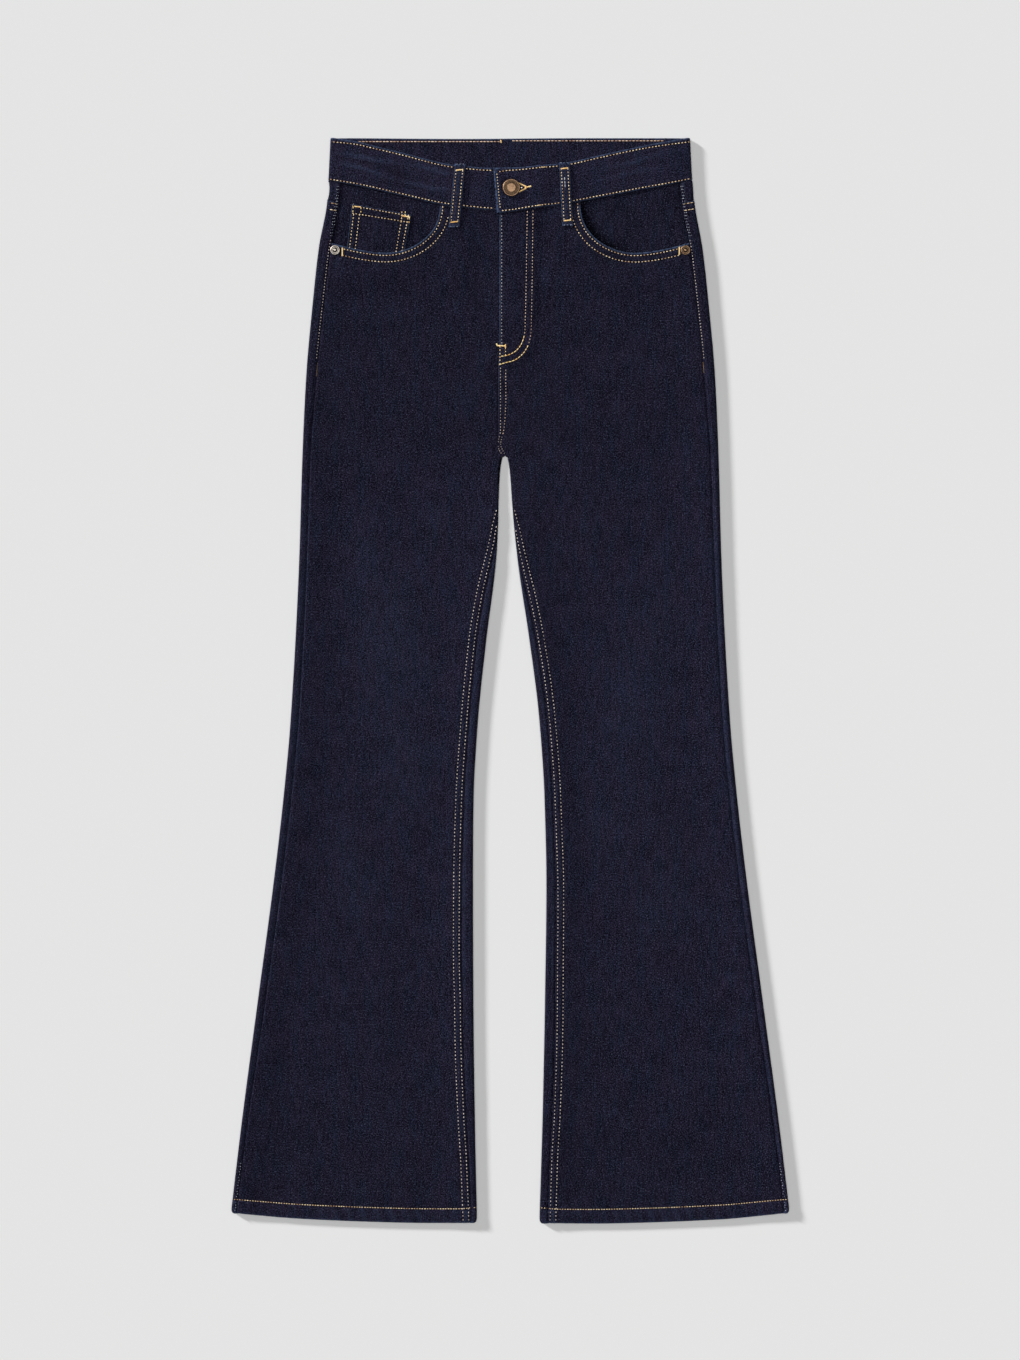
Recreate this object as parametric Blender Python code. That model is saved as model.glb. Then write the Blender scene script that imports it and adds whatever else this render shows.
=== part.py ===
"""Flared five-pocket jeans, laid flat with the front up, as one Blender part.

Metres. +Z is up, +Y points to the waist, +X to the wearer's left. The origin is under the middle
of the garment, on the surface it lies on. Right and left are the wearer's. A drop is the
distance down the garment from the top of the back waistband, and a dip is a drop of an edge.
"""
import math
from collections import namedtuple

import bmesh
import bpy
import numpy as np
from mathutils import Matrix, Vector

# Driving sizes
LENGTH = 1.0832          # waist to hem, laid flat
CLOTH = 0.0011           # one layer of denim
BAND = 0.0020            # the waistband, two layers pressed together
HEM_WALL = 0.0020        # the hem, turned up twice
HEM_HEIGHT = 0.0140
PATCH = 0.0012           # a patch pocket or a belt loop
GAP = 0.0003             # between pieces that touch
REST = 0.045             # how far in from a rolled edge the front comes to lie on the back

# The seat lies over the back pockets and loops, and settles beyond them
SEAT_LIFT = PATCH + GAP
LIFT_START, LIFT_END = 0.006, 0.022      # in from the side edge
SEAT_END, THIGH_START = 0.262, 0.309     # drops

# Front pocket mouth: a quarter ellipse from the waistband, then a slow rise to the side seam
MOUTH_INNER, MOUTH_LOW = 0.0703, 0.1250  # distances from the middle
MOUTH_TOP, MOUTH_DROP = 0.0680, 0.1138   # drops
MOUTH_RISE = 0.0100
MOUTH_OUTER = 0.1790                     # where the slow rise ends
MOUTH_SLOW = 0.36                        # the slow rise's share of the mouth's points
FACING_INNER, FACING_DROP = 0.050, 0.139
FACING_FADE_START, FACING_FADE_END = 0.030, 0.048
COIN_CORNERS = [(-0.1583, 0.0647), (-0.0988, 0.0755), (-0.1645, 0.1180), (-0.1070, 0.1210)]
COIN_FADE = [-0.1750, -0.1670, -0.0940, -0.0760]   # x: the front rises onto it and comes down
COIN_FADE_TOP, COIN_FADE_LOW = 0.130, 0.155        # drops

# Fly, on the centre front seam
FLY_END = 0.206
FLY_LAP = 0.0060
FLY_FADE_START, FLY_FADE_END = 0.018, 0.034        # x
FLY_SETTLE_START, FLY_SETTLE_END = 0.222, 0.250    # drops
ZIP_LEFT, ZIP_RIGHT = -0.0042, 0.0160
ZIP_TOP, ZIP_BOTTOM = 0.0760, 0.2040
BAND_UNDER_END = 0.0250                  # hidden end of the waistband
BAND_OVER_TOP, BAND_OVER_BOTTOM = -0.0168, -0.0133
BAND_STEP_START, BAND_STEP_END = 0.0280, 0.0460
BAND_LIFT, BAND_SETTLE = 0.0012, 0.030   # the panels rise into the band over this distance

# The shape from the waist down: half width, side seam in from the edge, height of the edge's roll
Side = namedtuple("Side", "name drop outer outseam roll")
SIDES = [
    Side("waist", 0.000, 0.1799, 0.0125, 0.0029),
    Side("waistband seam", 0.041, 0.1820, 0.0125, 0.0029),
    Side("yoke seam", 0.061, 0.1834, 0.0122, 0.0030),
    Side("pocket corner", 0.111, 0.1919, 0.0120, 0.0030),
    Side("hip", 0.161, 0.1974, 0.0115, 0.0029),
    Side("seat", 0.236, 0.2041, 0.0103, 0.0028),
    Side("crotch", 0.318, 0.2080, 0.0080, 0.0027),
    Side("thigh", 0.421, 0.2112, 0.0076, 0.0027),
    Side("low thigh", 0.581, 0.2198, 0.0078, 0.0026),
    Side("knee", 0.661, 0.2272, 0.0078, 0.0026),
    Side("under knee", 0.741, 0.2365, 0.0077, 0.0026),
    Side("calf", 0.861, 0.2525, 0.0075, 0.0026),
    Side("ankle", 0.981, 0.2684, 0.0058, 0.0026),
    Side("hem", 1.083, 0.2806, 0.0055, 0.0026),
]

# Between the legs: middle of the gap, half the gap, inseam in from the edge, the edge's roll
Between = namedtuple("Between", "name drop middle half inseam roll")
BETWEEN = [
    Between("crotch point", 0.3166, -0.0053, 0.0002, 0.0000, 0.00125),
    Between("arch", 0.3172, -0.0053, 0.0020, 0.0000, 0.00130),
    Between("arch side", 0.3207, -0.0053, 0.0031, 0.0000, 0.00140),
    Between("top of legs", 0.331, -0.0053, 0.0047, 0.0000, 0.00170),
    Between("upper thigh", 0.361, -0.0050, 0.0066, 0.0003, 0.00220),
    Between("inseam shows", 0.381, -0.0044, 0.0076, 0.0018, 0.00240),
    Between("thigh", 0.421, -0.0034, 0.0108, 0.0046, 0.00255),
    Between("mid thigh", 0.501, -0.0024, 0.0216, 0.0085, 0.00260),
    Between("low thigh", 0.581, -0.0016, 0.0307, 0.0105, 0.00260),
    Between("knee", 0.661, -0.0012, 0.0355, 0.0112, 0.00260),
    Between("under knee", 0.741, -0.0006, 0.0367, 0.0114, 0.00260),
    Between("calf", 0.861, -0.0011, 0.0358, 0.0112, 0.00260),
    Between("ankle", 0.981, -0.0016, 0.0338, 0.0085, 0.00260),
    Between("hem", 1.083, -0.0021, 0.0312, 0.0060, 0.00260),
]

# Centre seams: x of the front seam, with the fly's edge, and of the back seam
Centre = namedtuple("Centre", "name drop front back")
CENTRES = [
    Centre("waistband", 0.030, -0.0108, -0.0033),
    Centre("fly end", 0.206, -0.0108, -0.0045),
    Centre("under the fly", 0.226, -0.0120, -0.0046),
    Centre("low rise", 0.300, -0.0123, -0.0052),
    Centre("hook", 0.309, -0.0113, -0.0053),
    Centre("turn", 0.3140, -0.0085, -0.0053),
    Centre("crotch point", 0.3166, -0.0053, -0.0053),
]

# Front of the waistband, from the wearer's right side to the left: dip of both edges
Dip = namedtuple("Dip", "name x top bottom")
DIPS = [
    Dip("right side", -0.1820, 0.0000, 0.0415),
    Dip("over right facing", -0.1540, 0.0018, 0.0462),
    Dip("over coin pocket", -0.1100, 0.0123, 0.0558),
    Dip("right loop", -0.0620, 0.0245, 0.0655),
    Dip("beside fly", -0.0160, 0.0289, 0.0708),
    Dip("button", 0.0040, 0.0287, 0.0712),
    Dip("end of lap", 0.0300, 0.0262, 0.0680),
    Dip("left loop", 0.0540, 0.0215, 0.0645),
    Dip("over left facing", 0.1200, 0.0090, 0.0524),
    Dip("left side", 0.1820, 0.0000, 0.0412),
]

YOKE_SIDE, YOKE_BACK = 0.061, 0.101      # drop of the yoke seam at the side and at centre back

BackPocket = namedtuple("BackPocket", "name inward drop")
BACK_POCKET = [
    BackPocket("inner top", 0.036, 0.1230),
    BackPocket("inner side", 0.042, 0.2320),
    BackPocket("point", 0.097, 0.2520),
    BackPocket("outer side", 0.152, 0.2240),
    BackPocket("outer top", 0.164, 0.1130),
]

# A loop's middle line runs from its top to its end under the waistband
Loop = namedtuple("Loop", "name top_x top_drop end_x end_drop")
LOOP_WIDTH = 0.0105
FRONT_LOOPS = [
    Loop("loop_front_right", -0.0501, 0.0255, -0.0563, 0.0885),
    Loop("loop_front_left", 0.0539, 0.0240, 0.0574, 0.0870),
]
BACK_LOOPS = [
    Loop("loop_back_right", -0.1080, 0.0005, -0.1080, 0.0620),
    Loop("loop_back_centre", -0.0033, 0.0005, -0.0033, 0.0620),
    Loop("loop_back_left", 0.1020, 0.0005, 0.1020, 0.0620),
]

BUTTON_X, BUTTON_DROP = 0.0011, 0.0483
RIVET_X, RIVET_DROP = 0.1751, 0.1111

# Rows of points down a leg, below the shaped upper edge of a panel
SHAPED_END = 0.141
SEAT_ROWS = [0.165, 0.190, 0.206, 0.220, 0.235, 0.250, 0.262, 0.2775, 0.2935, 0.309, 0.314]
LEG_ROWS = [0.3166, 0.3172, 0.3207, 0.331, 0.345, 0.361, 0.390, 0.421, 0.475, 0.530, 0.590, 0.655,
            0.725, 0.800, 0.880, 0.960, 1.030, LENGTH - HEM_HEIGHT - 0.0025, LENGTH - HEM_HEIGHT]
PANEL_ROWS = [SHAPED_END] + SEAT_ROWS + LEG_ROWS + [LENGTH - 0.003, LENGTH]
HEM_RISE = 0.0090        # the hem is this much higher at the outer edge than at the inner one
HEM_RISE_START = 0.930
HEM_LIFT_START = 1.030
CORNER = 0.0016          # the last row is drawn in where the hem's edge rounds off


def ramp(value, start, end):
    """0 before start, 1 after end and straight between them."""
    return min(max((value - start) / (end - start), 0.0), 1.0)


def ease(value, start, end):
    """The same with soft ends."""
    t = ramp(value, start, end)
    return t * t * (3.0 - 2.0 * t)


def mix(a, b, t):
    return a + (b - a) * t


def read(table, key, column, at):
    """A column of a table where its key column is at, on a smooth curve through the rows."""
    keys = [getattr(row, key) for row in table]
    values = [getattr(row, column) for row in table]
    at = min(max(at, keys[0]), keys[-1])
    i = min(max(int(np.searchsorted(keys, at)) - 1, 0), len(keys) - 2)
    slopes = [(values[k + 1] - values[k]) / (keys[k + 1] - keys[k]) for k in range(len(keys) - 1)]

    def tangent(k):
        if k in (0, len(keys) - 1):
            return slopes[min(k, len(slopes) - 1)]
        before, after = slopes[k - 1], slopes[k]
        if before * after <= 0.0:
            return 0.0
        return 2.0 * before * after / (before + after)

    span = keys[i + 1] - keys[i]
    t = (at - keys[i]) / span
    start, end = values[i], values[i + 1]
    bend = (1 - t) * tangent(i) * span - t * tangent(i + 1) * span - (1 - 2 * t) * (end - start)
    return mix(start, end, t) + t * (1 - t) * bend


def outer_edge(drop):
    return read(SIDES, "drop", "outer", drop)


def outer_roll(drop):
    return read(SIDES, "drop", "roll", drop)


def inner_edge(side, drop):
    """x of a leg's inner edge."""
    half = read(BETWEEN, "drop", "half", drop)
    return read(BETWEEN, "drop", "middle", drop) + side * half


def inner_roll(drop):
    return read(BETWEEN, "drop", "roll", drop)


def dip(x, column):
    return read(DIPS, "x", column, x)


def is_leg(drop):
    return drop >= BETWEEN[0].drop - 1e-6


def wall(drop):
    """Thickness of a leg panel, which is thicker along its hem."""
    hem_top = LENGTH - HEM_HEIGHT
    return mix(CLOTH, HEM_WALL, ramp(drop, hem_top - 0.0025, hem_top))


def roll(s, radius):
    """The outer skin of a rolled edge. s runs along the cloth from its outermost line, up and
    over to the front where it is positive and round to the back where it is negative. Gives the
    distance in from the edge, the height, and the outward normal in the same two directions."""
    quarter = math.pi * radius / 2
    if s > quarter:
        return radius + s - quarter, 2 * radius, 0.0, 1.0
    if s < -quarter:
        return radius - s - quarter, 0.0, 0.0, -1.0
    angle = s / radius
    return (radius * (1 - math.cos(angle)), radius * (1 + math.sin(angle)),
            -math.cos(angle), math.sin(angle))


def along(inward, radius):
    """s of a point on the front, from its distance in from the edge."""
    if inward >= radius:
        return inward - radius + math.pi * radius / 2
    return radius * math.acos(1 - inward / radius)


# Heights of the layers
def lift(x, drop):
    """How high the back's outer skin lies."""
    inward = outer_edge(drop) - abs(x)
    return SEAT_LIFT * ramp(inward, LIFT_START, LIFT_END) * (1 - ramp(drop, SEAT_END, THIGH_START))


def facing_lift(x, drop):
    across = ramp(abs(x), FACING_FADE_START, FACING_FADE_END)
    return (CLOTH + GAP) * across * (1 - ramp(drop, SHAPED_END, SEAT_ROWS[0]))


def band_lift(x, drop):
    """The panels rise to the middle of the waistband's thickness where it holds them."""
    return BAND_LIFT * (1 - ramp(drop - dip(x, "bottom"), 0.0, BAND_SETTLE))


def fly_lift(x, drop):
    down = 1 - ramp(drop, FLY_SETTLE_START, FLY_SETTLE_END)
    return (CLOTH + GAP) * (1 - ramp(x, FLY_FADE_START, FLY_FADE_END)) * down


def coin_lift(x, drop):
    across = ramp(x, *COIN_FADE[:2]) * (1 - ramp(x, *COIN_FADE[2:]))
    return (PATCH + GAP) * across * (1 - ramp(drop, COIN_FADE_TOP, COIN_FADE_LOW))


def front_height(side, x, drop):
    """Height of the front's outer skin, without what the coin pocket adds."""
    level = lift(x, drop) + 2 * wall(drop) + GAP + max(facing_lift(x, drop), band_lift(x, drop))
    hem_near = ramp(drop, HEM_LIFT_START, LENGTH - HEM_HEIGHT)
    level = mix(level, max(level, 2 * HEM_WALL + GAP), hem_near)
    if side > 0:
        level += fly_lift(x, drop)
    radius = outer_roll(drop)
    inward = outer_edge(drop) - abs(x)
    height = mix(2 * radius, level, ease(inward, radius, REST))
    if is_leg(drop):
        radius = inner_roll(drop)
        inward = side * (x - inner_edge(side, drop))
        height += (2 * radius - level) * (1 - ease(inward, radius, REST))
    return height


def leg_point(side, edge, drop, s, skin):
    """A point of a front or back panel, s along the cloth from the outer or the inner edge.
    The outer skin is 0 and the inner skin is 1."""
    radius = outer_roll(drop) if edge == "outer" else inner_roll(drop)
    inward, height, normal_in, normal_up = roll(s, radius)
    if edge == "outer":
        start, direction = side * outer_edge(drop), -side
    else:
        start, direction = inner_edge(side, drop), side
    x = start + direction * inward
    if inward > radius and s > 0:
        height = front_height(side, x, drop) + (coin_lift(x, drop) if side < 0 else 0.0)
    elif inward > radius:
        height = lift(x, drop)
    depth = wall(drop) * skin
    return Vector((x - direction * normal_in * depth, LENGTH / 2 - drop,
                   height - normal_up * depth))


def flat_point(side, layer, x, drop, skin):
    """A point of a panel away from its rolled edges."""
    if layer == "front":
        height = front_height(side, x, drop) + (coin_lift(x, drop) if side < 0 else 0.0)
        return Vector((x, LENGTH / 2 - drop, height - wall(drop) * skin))
    return Vector((x, LENGTH / 2 - drop, lift(x, drop) + wall(drop) * skin))


# Pieces
def material(name, colour, roughness, metallic=0.0):
    made = bpy.data.materials.new(name)
    made.use_nodes = True
    shader = made.node_tree.nodes["Principled BSDF"]
    shader.inputs["Base Color"].default_value = (*colour, 1.0)
    shader.inputs["Roughness"].default_value = roughness
    shader.inputs["Metallic"].default_value = metallic
    made.diffuse_color = (*colour, 1.0)
    return made


def add(name, mesh_edit, finish, smooth_angle=40.0):
    """Turns an edited mesh into a named object."""
    bmesh.ops.recalc_face_normals(mesh_edit, faces=mesh_edit.faces)
    mesh = bpy.data.meshes.new(name)
    mesh_edit.to_mesh(mesh)
    mesh_edit.free()
    mesh.materials.append(finish)
    mesh.shade_smooth()
    mesh.set_sharp_from_angle(angle=math.radians(smooth_angle))
    made = bpy.data.objects.new(name, mesh)
    bpy.context.scene.collection.objects.link(made)
    return made


def cloth(name, finish, columns, rows, place):
    """A wall of cloth: a grid of columns and rows, extruded once. place gives each point of the
    outer skin, 0, and of the inner skin, 1."""
    sheet = bmesh.new()
    bmesh.ops.create_grid(sheet, x_segments=columns, y_segments=rows, size=0.5)
    skins = [list(sheet.verts)]
    grown = bmesh.ops.extrude_face_region(sheet, geom=sheet.faces[:])
    skins.append([item for item in grown["geom"] if isinstance(item, bmesh.types.BMVert)])
    for skin, points in enumerate(skins):
        for point in points:
            column = round((point.co.x + 0.5) * columns)
            row = round((0.5 - point.co.y) * rows)
            point.co = place(column, row, skin)
    return add(name, sheet, finish)


def slanted(drop, across):
    """Drop of a point of a row near the slanted hem, from the outer edge, 0, to the inner, 1."""
    return drop - HEM_RISE * (1 - across) ** 2 * ramp(drop, HEM_RISE_START, LENGTH - HEM_HEIGHT)


def mouth(share):
    """The pocket mouth's edge from the side seam, 0, to the waistband, 1."""
    if share < MOUTH_SLOW:
        t = 1 - share / MOUTH_SLOW
        return mix(MOUTH_LOW, MOUTH_OUTER, t), MOUTH_DROP - MOUTH_RISE * t ** 1.6
    angle = math.pi / 2 * (share - MOUTH_SLOW) / (1 - MOUTH_SLOW)
    return (MOUTH_LOW - (MOUTH_LOW - MOUTH_INNER) * math.sin(angle),
            MOUTH_TOP + (MOUTH_DROP - MOUTH_TOP) * math.cos(angle))


def front_panel(side, finish):
    """A front leg panel, between the side seam and the centre seam or the inseam."""
    mouth_columns, band_columns = 11, 3
    edge_shares = [1.0, 0.5, 0.2, 0.13, 0.066, 0.0]
    near = 0.025
    flat = mouth_columns + 1 + band_columns
    shaping = [0.0, 0.15, 0.48]
    rows = len(shaping) + len(PANEL_ROWS)

    def inner_x(drop, inward):
        """x of a point above the crotch, in from the panel's own edge."""
        lap = mix(FLY_LAP, -GAP / 2, ramp(drop, FLY_END, 0.220)) if side < 0 else -GAP / 2
        return read(CENTRES, "drop", "front", drop) - side * lap + side * inward

    def row_point(row_drop, column):
        """x and drop of a flat column on a row across the panel."""
        share = min(column, flat) / flat
        drop = slanted(row_drop, share)
        outer_x = side * (outer_edge(drop) - read(SIDES, "drop", "outseam", drop) - GAP / 2)
        if is_leg(drop):
            last_x = inner_edge(side, drop) + side * near
        else:
            last_x = inner_x(drop, near)
        return mix(outer_x, last_x, share), drop

    def top_point(column):
        """x and drop of a column on the panel's upper edge."""
        if column <= mouth_columns:
            x, drop = mouth(column / mouth_columns)
            if column == 0:
                x = outer_edge(drop) - read(SIDES, "drop", "outseam", drop) - GAP / 2
            return side * x, drop
        across = (column - mouth_columns - 1) / band_columns
        x = mix(side * MOUTH_INNER, inner_x(0.075, near), min(across, 1.0))
        return x, dip(x, "bottom") + GAP

    def place(column, row, skin):
        edge_share = edge_shares[max(column - flat, 0)]
        if row < len(shaping):
            top_x, top_drop = top_point(column)
            low_x, low_drop = row_point(SHAPED_END, column)
            x = mix(top_x, low_x, shaping[row])
            drop = mix(top_drop, low_drop, shaping[row])
            if column == 0:
                x = side * (outer_edge(drop) - read(SIDES, "drop", "outseam", drop) - GAP / 2)
            if column > flat:
                x = inner_x(drop, near * edge_share)
                top_drop = dip(x, "bottom") + GAP
                drop = mix(top_drop, SHAPED_END, shaping[row])
            return flat_point(side, "front", x, drop, skin)
        drop = PANEL_ROWS[row - len(shaping)]
        x, flat_drop = row_point(drop, column)
        if row == rows - 1:
            x -= math.copysign(CORNER * (1 - min(column, flat) / flat), x)
        if column <= flat:
            return flat_point(side, "front", x, flat_drop, skin)
        if not is_leg(drop):
            return flat_point(side, "front", inner_x(drop, near * edge_share), drop, skin)
        seam = along(read(BETWEEN, "drop", "inseam", drop), inner_roll(drop)) + GAP / 2
        return leg_point(side, "inner", drop, mix(seam, near, edge_share), skin)

    name = "front_right" if side < 0 else "front_left"
    return cloth(name, finish, flat + len(edge_shares) - 1, rows - 1, place)


def back_columns(drop, column):
    """Columns of a yoke or back panel that go round the outer edge: s along the cloth."""
    radius = outer_roll(drop)
    quarter = math.pi * radius / 2
    seam = along(read(SIDES, "drop", "outseam", drop), radius) - GAP / 2
    stops = [seam, mix(seam, quarter, 0.5), quarter, 0.6 * quarter, 0.2 * quarter, -0.2 * quarter,
             -0.6 * quarter, -quarter, -(LIFT_START - radius + quarter),
             -(LIFT_END - radius + quarter)]
    return stops[column]


OUTER_COLUMNS = 9
FLAT_COLUMNS = 5
INNER_SHARES = [0.0, 0.29, 0.37, 0.45, 0.53, 0.61, 0.69, 1.0]
INNER_NEAR = 0.012


def yoke_drop(x):
    """Drop of the yoke seam, which slants from the side edge down to centre back."""
    return mix(YOKE_BACK, YOKE_SIDE, min(abs(x) / SIDES[2].outer, 1.0))


def back_seam_x(side, drop, inward):
    return read(CENTRES, "drop", "back", drop) + side * (GAP / 2 + inward)


def back_point(side, column, drop_of, skin):
    """A point of a yoke or back panel above the crotch. drop_of gives the drop at an x, and
    whether the point is on the front."""
    if column <= OUTER_COLUMNS:
        drop = drop_of(side * SIDES[0].outer, column < 5)
        for _ in range(3):
            point = leg_point(side, "outer", drop, back_columns(drop, column), skin)
            drop = drop_of(point.x, column < 5)
        return leg_point(side, "outer", drop, back_columns(drop, column), skin)
    share = (column - OUTER_COLUMNS) / FLAT_COLUMNS
    drop = drop_of(side * SIDES[0].outer / 2, False)
    for _ in range(3):
        first = side * (outer_edge(drop) - LIFT_END)
        last = back_seam_x(side, drop, INNER_NEAR)
        x = mix(first, last, share)
        if share > 1:
            step = INNER_SHARES[column - OUTER_COLUMNS - FLAT_COLUMNS]
            x = back_seam_x(side, drop, INNER_NEAR * (1 - step))
        drop = drop_of(x, False)
    return flat_point(side, "back", x, drop, skin)


def back_panel(side, finish):
    """A back leg panel, which rolls round both edges of the leg onto its front."""
    shaping = [0.0, 0.25, 0.55]
    rows = len(shaping) + len(PANEL_ROWS)
    flat = OUTER_COLUMNS + FLAT_COLUMNS

    def place(column, row, skin):
        if row < len(shaping):
            def drop_of(x, on_front):
                return mix(yoke_drop(x) + GAP / 2, SHAPED_END, shaping[row])
            return back_point(side, column, drop_of, skin)
        drop = PANEL_ROWS[row - len(shaping)]
        if not is_leg(drop):
            return back_point(side, column, lambda x, on_front: drop, skin)
        if column <= OUTER_COLUMNS:
            drop = slanted(drop, 0.0)
            point = leg_point(side, "outer", drop, back_columns(drop, column), skin)
        elif column <= flat:
            share = (column - OUTER_COLUMNS) / FLAT_COLUMNS
            drop = slanted(drop, share)
            first = side * (outer_edge(drop) - LIFT_END)
            last = inner_edge(side, drop) + side * INNER_NEAR
            point = flat_point(side, "back", mix(first, last, share), drop, skin)
        else:
            radius = inner_roll(drop)
            seam = along(read(BETWEEN, "drop", "inseam", drop), radius) - GAP / 2
            start = -(INNER_NEAR - radius + math.pi * radius / 2)
            s = mix(start, seam, INNER_SHARES[column - flat])
            point = leg_point(side, "inner", drop, s, skin)
        if row == rows - 1 and column <= OUTER_COLUMNS:
            point.x -= side * CORNER
        return point

    name = "back_right" if side < 0 else "back_left"
    return cloth(name, finish, flat + len(INNER_SHARES) - 1, rows - 1, place)


def yoke(side, finish):
    """A back yoke, from the waistband to the yoke seam, and round the side edge to the front."""
    rows = 3

    def place(column, row, skin):
        def drop_of(x, on_front):
            top = dip(x, "bottom") if on_front else SIDES[1].drop
            return mix(top + GAP, yoke_drop(x) - GAP / 2, row / rows)
        return back_point(side, column, drop_of, skin)

    name = "yoke_right" if side < 0 else "yoke_left"
    return cloth(name, finish, OUTER_COLUMNS + FLAT_COLUMNS + len(INNER_SHARES) - 1, rows, place)


def band_front_height(x):
    """Height of the waistband's outer skin in front, where its ends lap."""
    lapped = x > BAND_OVER_TOP - GAP
    step = ramp(x, BAND_STEP_START, BAND_STEP_END)
    return 2 * outer_roll(0.0) + (BAND + GAP) * (1 - step) * lapped


def waistband(finish):
    """One strip, from its hidden end under the button round the back to the end on top."""
    radius = outer_roll(0.0)
    quarter = math.pi * radius / 2
    turn = [quarter, 0.6 * quarter, 0.2 * quarter, -0.2 * quarter, -0.6 * quarter, -quarter,
            -(LIFT_START - radius + quarter), -(LIFT_END - radius + quarter)]
    front_right = [BAND_UNDER_END, 0.004, -0.016, -0.040, -0.062, -0.086, -0.110, -0.132, -0.154]
    back = list(np.linspace(-0.125, 0.125, 7))
    front_left = [0.154, 0.120, 0.098, 0.076, 0.060, BAND_STEP_END, BAND_STEP_START, 0.010, -0.004,
                  None]
    stops = [("under", x) for x in front_right] + [("right", s) for s in turn]
    stops += [("back", x) for x in back]
    stops += [("left", s) for s in reversed(turn)] + [("over", x) for x in front_left]
    rows = 3

    def place(column, row, skin):
        kind, at = stops[column]
        share = row / rows
        if kind == "back":
            drop = mix(0.0, SIDES[1].drop, share)
            return Vector((at, LENGTH / 2 - drop, lift(at, drop) + BAND * skin))
        if kind in ("under", "over"):
            x = mix(BAND_OVER_TOP, BAND_OVER_BOTTOM, share) if at is None else at
            drop = mix(dip(x, "top"), dip(x, "bottom"), share)
            height = 2 * radius if kind == "under" else band_front_height(x)
            return Vector((x, LENGTH / 2 - drop, height - BAND * skin))
        side = -1 if kind == "right" else 1
        inward, height, normal_in, normal_up = roll(at, radius)
        bottom = dip(side * DIPS[-1].x, "bottom") if at > 0 else SIDES[1].drop
        drop = mix(0.0, bottom, share)
        x = side * (outer_edge(drop) - inward)
        if at < -quarter:
            height = lift(x, drop)
        return Vector((x + side * normal_in * BAND * skin, LENGTH / 2 - drop,
                       height - normal_up * BAND * skin))

    return cloth("waistband", finish, len(stops) - 1, rows, place)


def facing(side, finish):
    """The cloth seen in a front pocket's mouth. It runs on under the front panel."""
    columns, rows = 9, 6

    def place(column, row, skin):
        drop = mix(SIDES[1].drop, FACING_DROP, row / rows)
        for _ in range(3):
            seam = read(SIDES, "drop", "outseam", drop)
            x = side * mix(outer_edge(drop) - seam - GAP / 2, FACING_INNER, column / columns)
            drop = mix(dip(x, "bottom") + GAP, FACING_DROP, row / rows)
        height = front_height(side, x, drop) - (CLOTH + GAP) - CLOTH * skin
        return Vector((x, LENGTH / 2 - drop, height))

    name = "facing_right" if side < 0 else "facing_left"
    return cloth(name, finish, columns, rows, place)


def coin_pocket(finish):
    """A small patch on the right facing, with its lower edge under the pocket's mouth."""
    columns, rows = 5, 5
    top_left, top_right, low_left, low_right = [Vector(corner) for corner in COIN_CORNERS]

    def place(column, row, skin):
        t = column / columns
        x, drop = top_left.lerp(top_right, t).lerp(low_left.lerp(low_right, t), row / rows)
        height = front_height(-1, x, drop) - CLOTH + PATCH * (1 - skin)
        return Vector((x, LENGTH / 2 - drop, height))

    return cloth("coin_pocket", finish, columns, rows, place)


def slab(name, finish, corners, low, high):
    """A flat patch with an outline of x and drop, between two heights."""
    patch = bmesh.new()
    outline = [patch.verts.new((x, LENGTH / 2 - drop, low)) for x, drop in corners]
    face = patch.faces.new(outline)
    grown = bmesh.ops.extrude_face_region(patch, geom=[face])
    raised = [item for item in grown["geom"] if isinstance(item, bmesh.types.BMVert)]
    bmesh.ops.translate(patch, verts=raised, vec=(0.0, 0.0, high - low))
    return add(name, patch, finish)


def back_pocket(side, finish):
    corners = [(side * row.inward + CENTRES[0].back, row.drop) for row in BACK_POCKET]
    name = "back_pocket_right" if side < 0 else "back_pocket_left"
    return slab(name, finish, corners, 0.0, PATCH)


def back_loop(row, finish):
    half = LOOP_WIDTH / 2
    corners = [(row.top_x - half, row.top_drop), (row.top_x + half, row.top_drop),
               (row.end_x + half, row.end_drop), (row.end_x - half, row.end_drop)]
    return slab(row.name, finish, corners, 0.0, PATCH)


def front_loop(row, finish):
    """A belt loop over the waistband, with its lower end on the front panel."""
    side = -1 if row.top_x < 0 else 1
    rows = [0.0, 0.33, 0.62, 0.66, 0.74, 1.0]
    middle = mix(row.top_x, row.end_x, 0.5)
    panel = front_height(side, row.end_x, row.end_drop)
    band = max(band_front_height(middle - LOOP_WIDTH), band_front_height(middle + LOOP_WIDTH))

    def place(column, number, skin):
        share = rows[number]
        x = mix(row.top_x, row.end_x, share) + (column - 0.5) * LOOP_WIDTH
        drop = mix(row.top_drop, row.end_drop, share)
        height = mix(band, panel + 0.0001, ramp(share, 0.66, 0.80))
        return Vector((x, LENGTH / 2 - drop, height + GAP + PATCH * (1 - skin)))

    return cloth(row.name, finish, 1, len(rows) - 1, place)


def fly_zip(finish):
    """The closed zip's tape, under the fly."""
    columns, rows = 2, 8

    def place(column, row, skin):
        x = mix(ZIP_LEFT, ZIP_RIGHT, column / columns)
        drop = mix(ZIP_TOP, ZIP_BOTTOM, row / rows)
        height = front_height(-1, x, drop) - CLOTH * skin
        return Vector((x, LENGTH / 2 - drop, height))

    return cloth("fly_zip", finish, columns, rows, place)


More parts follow.
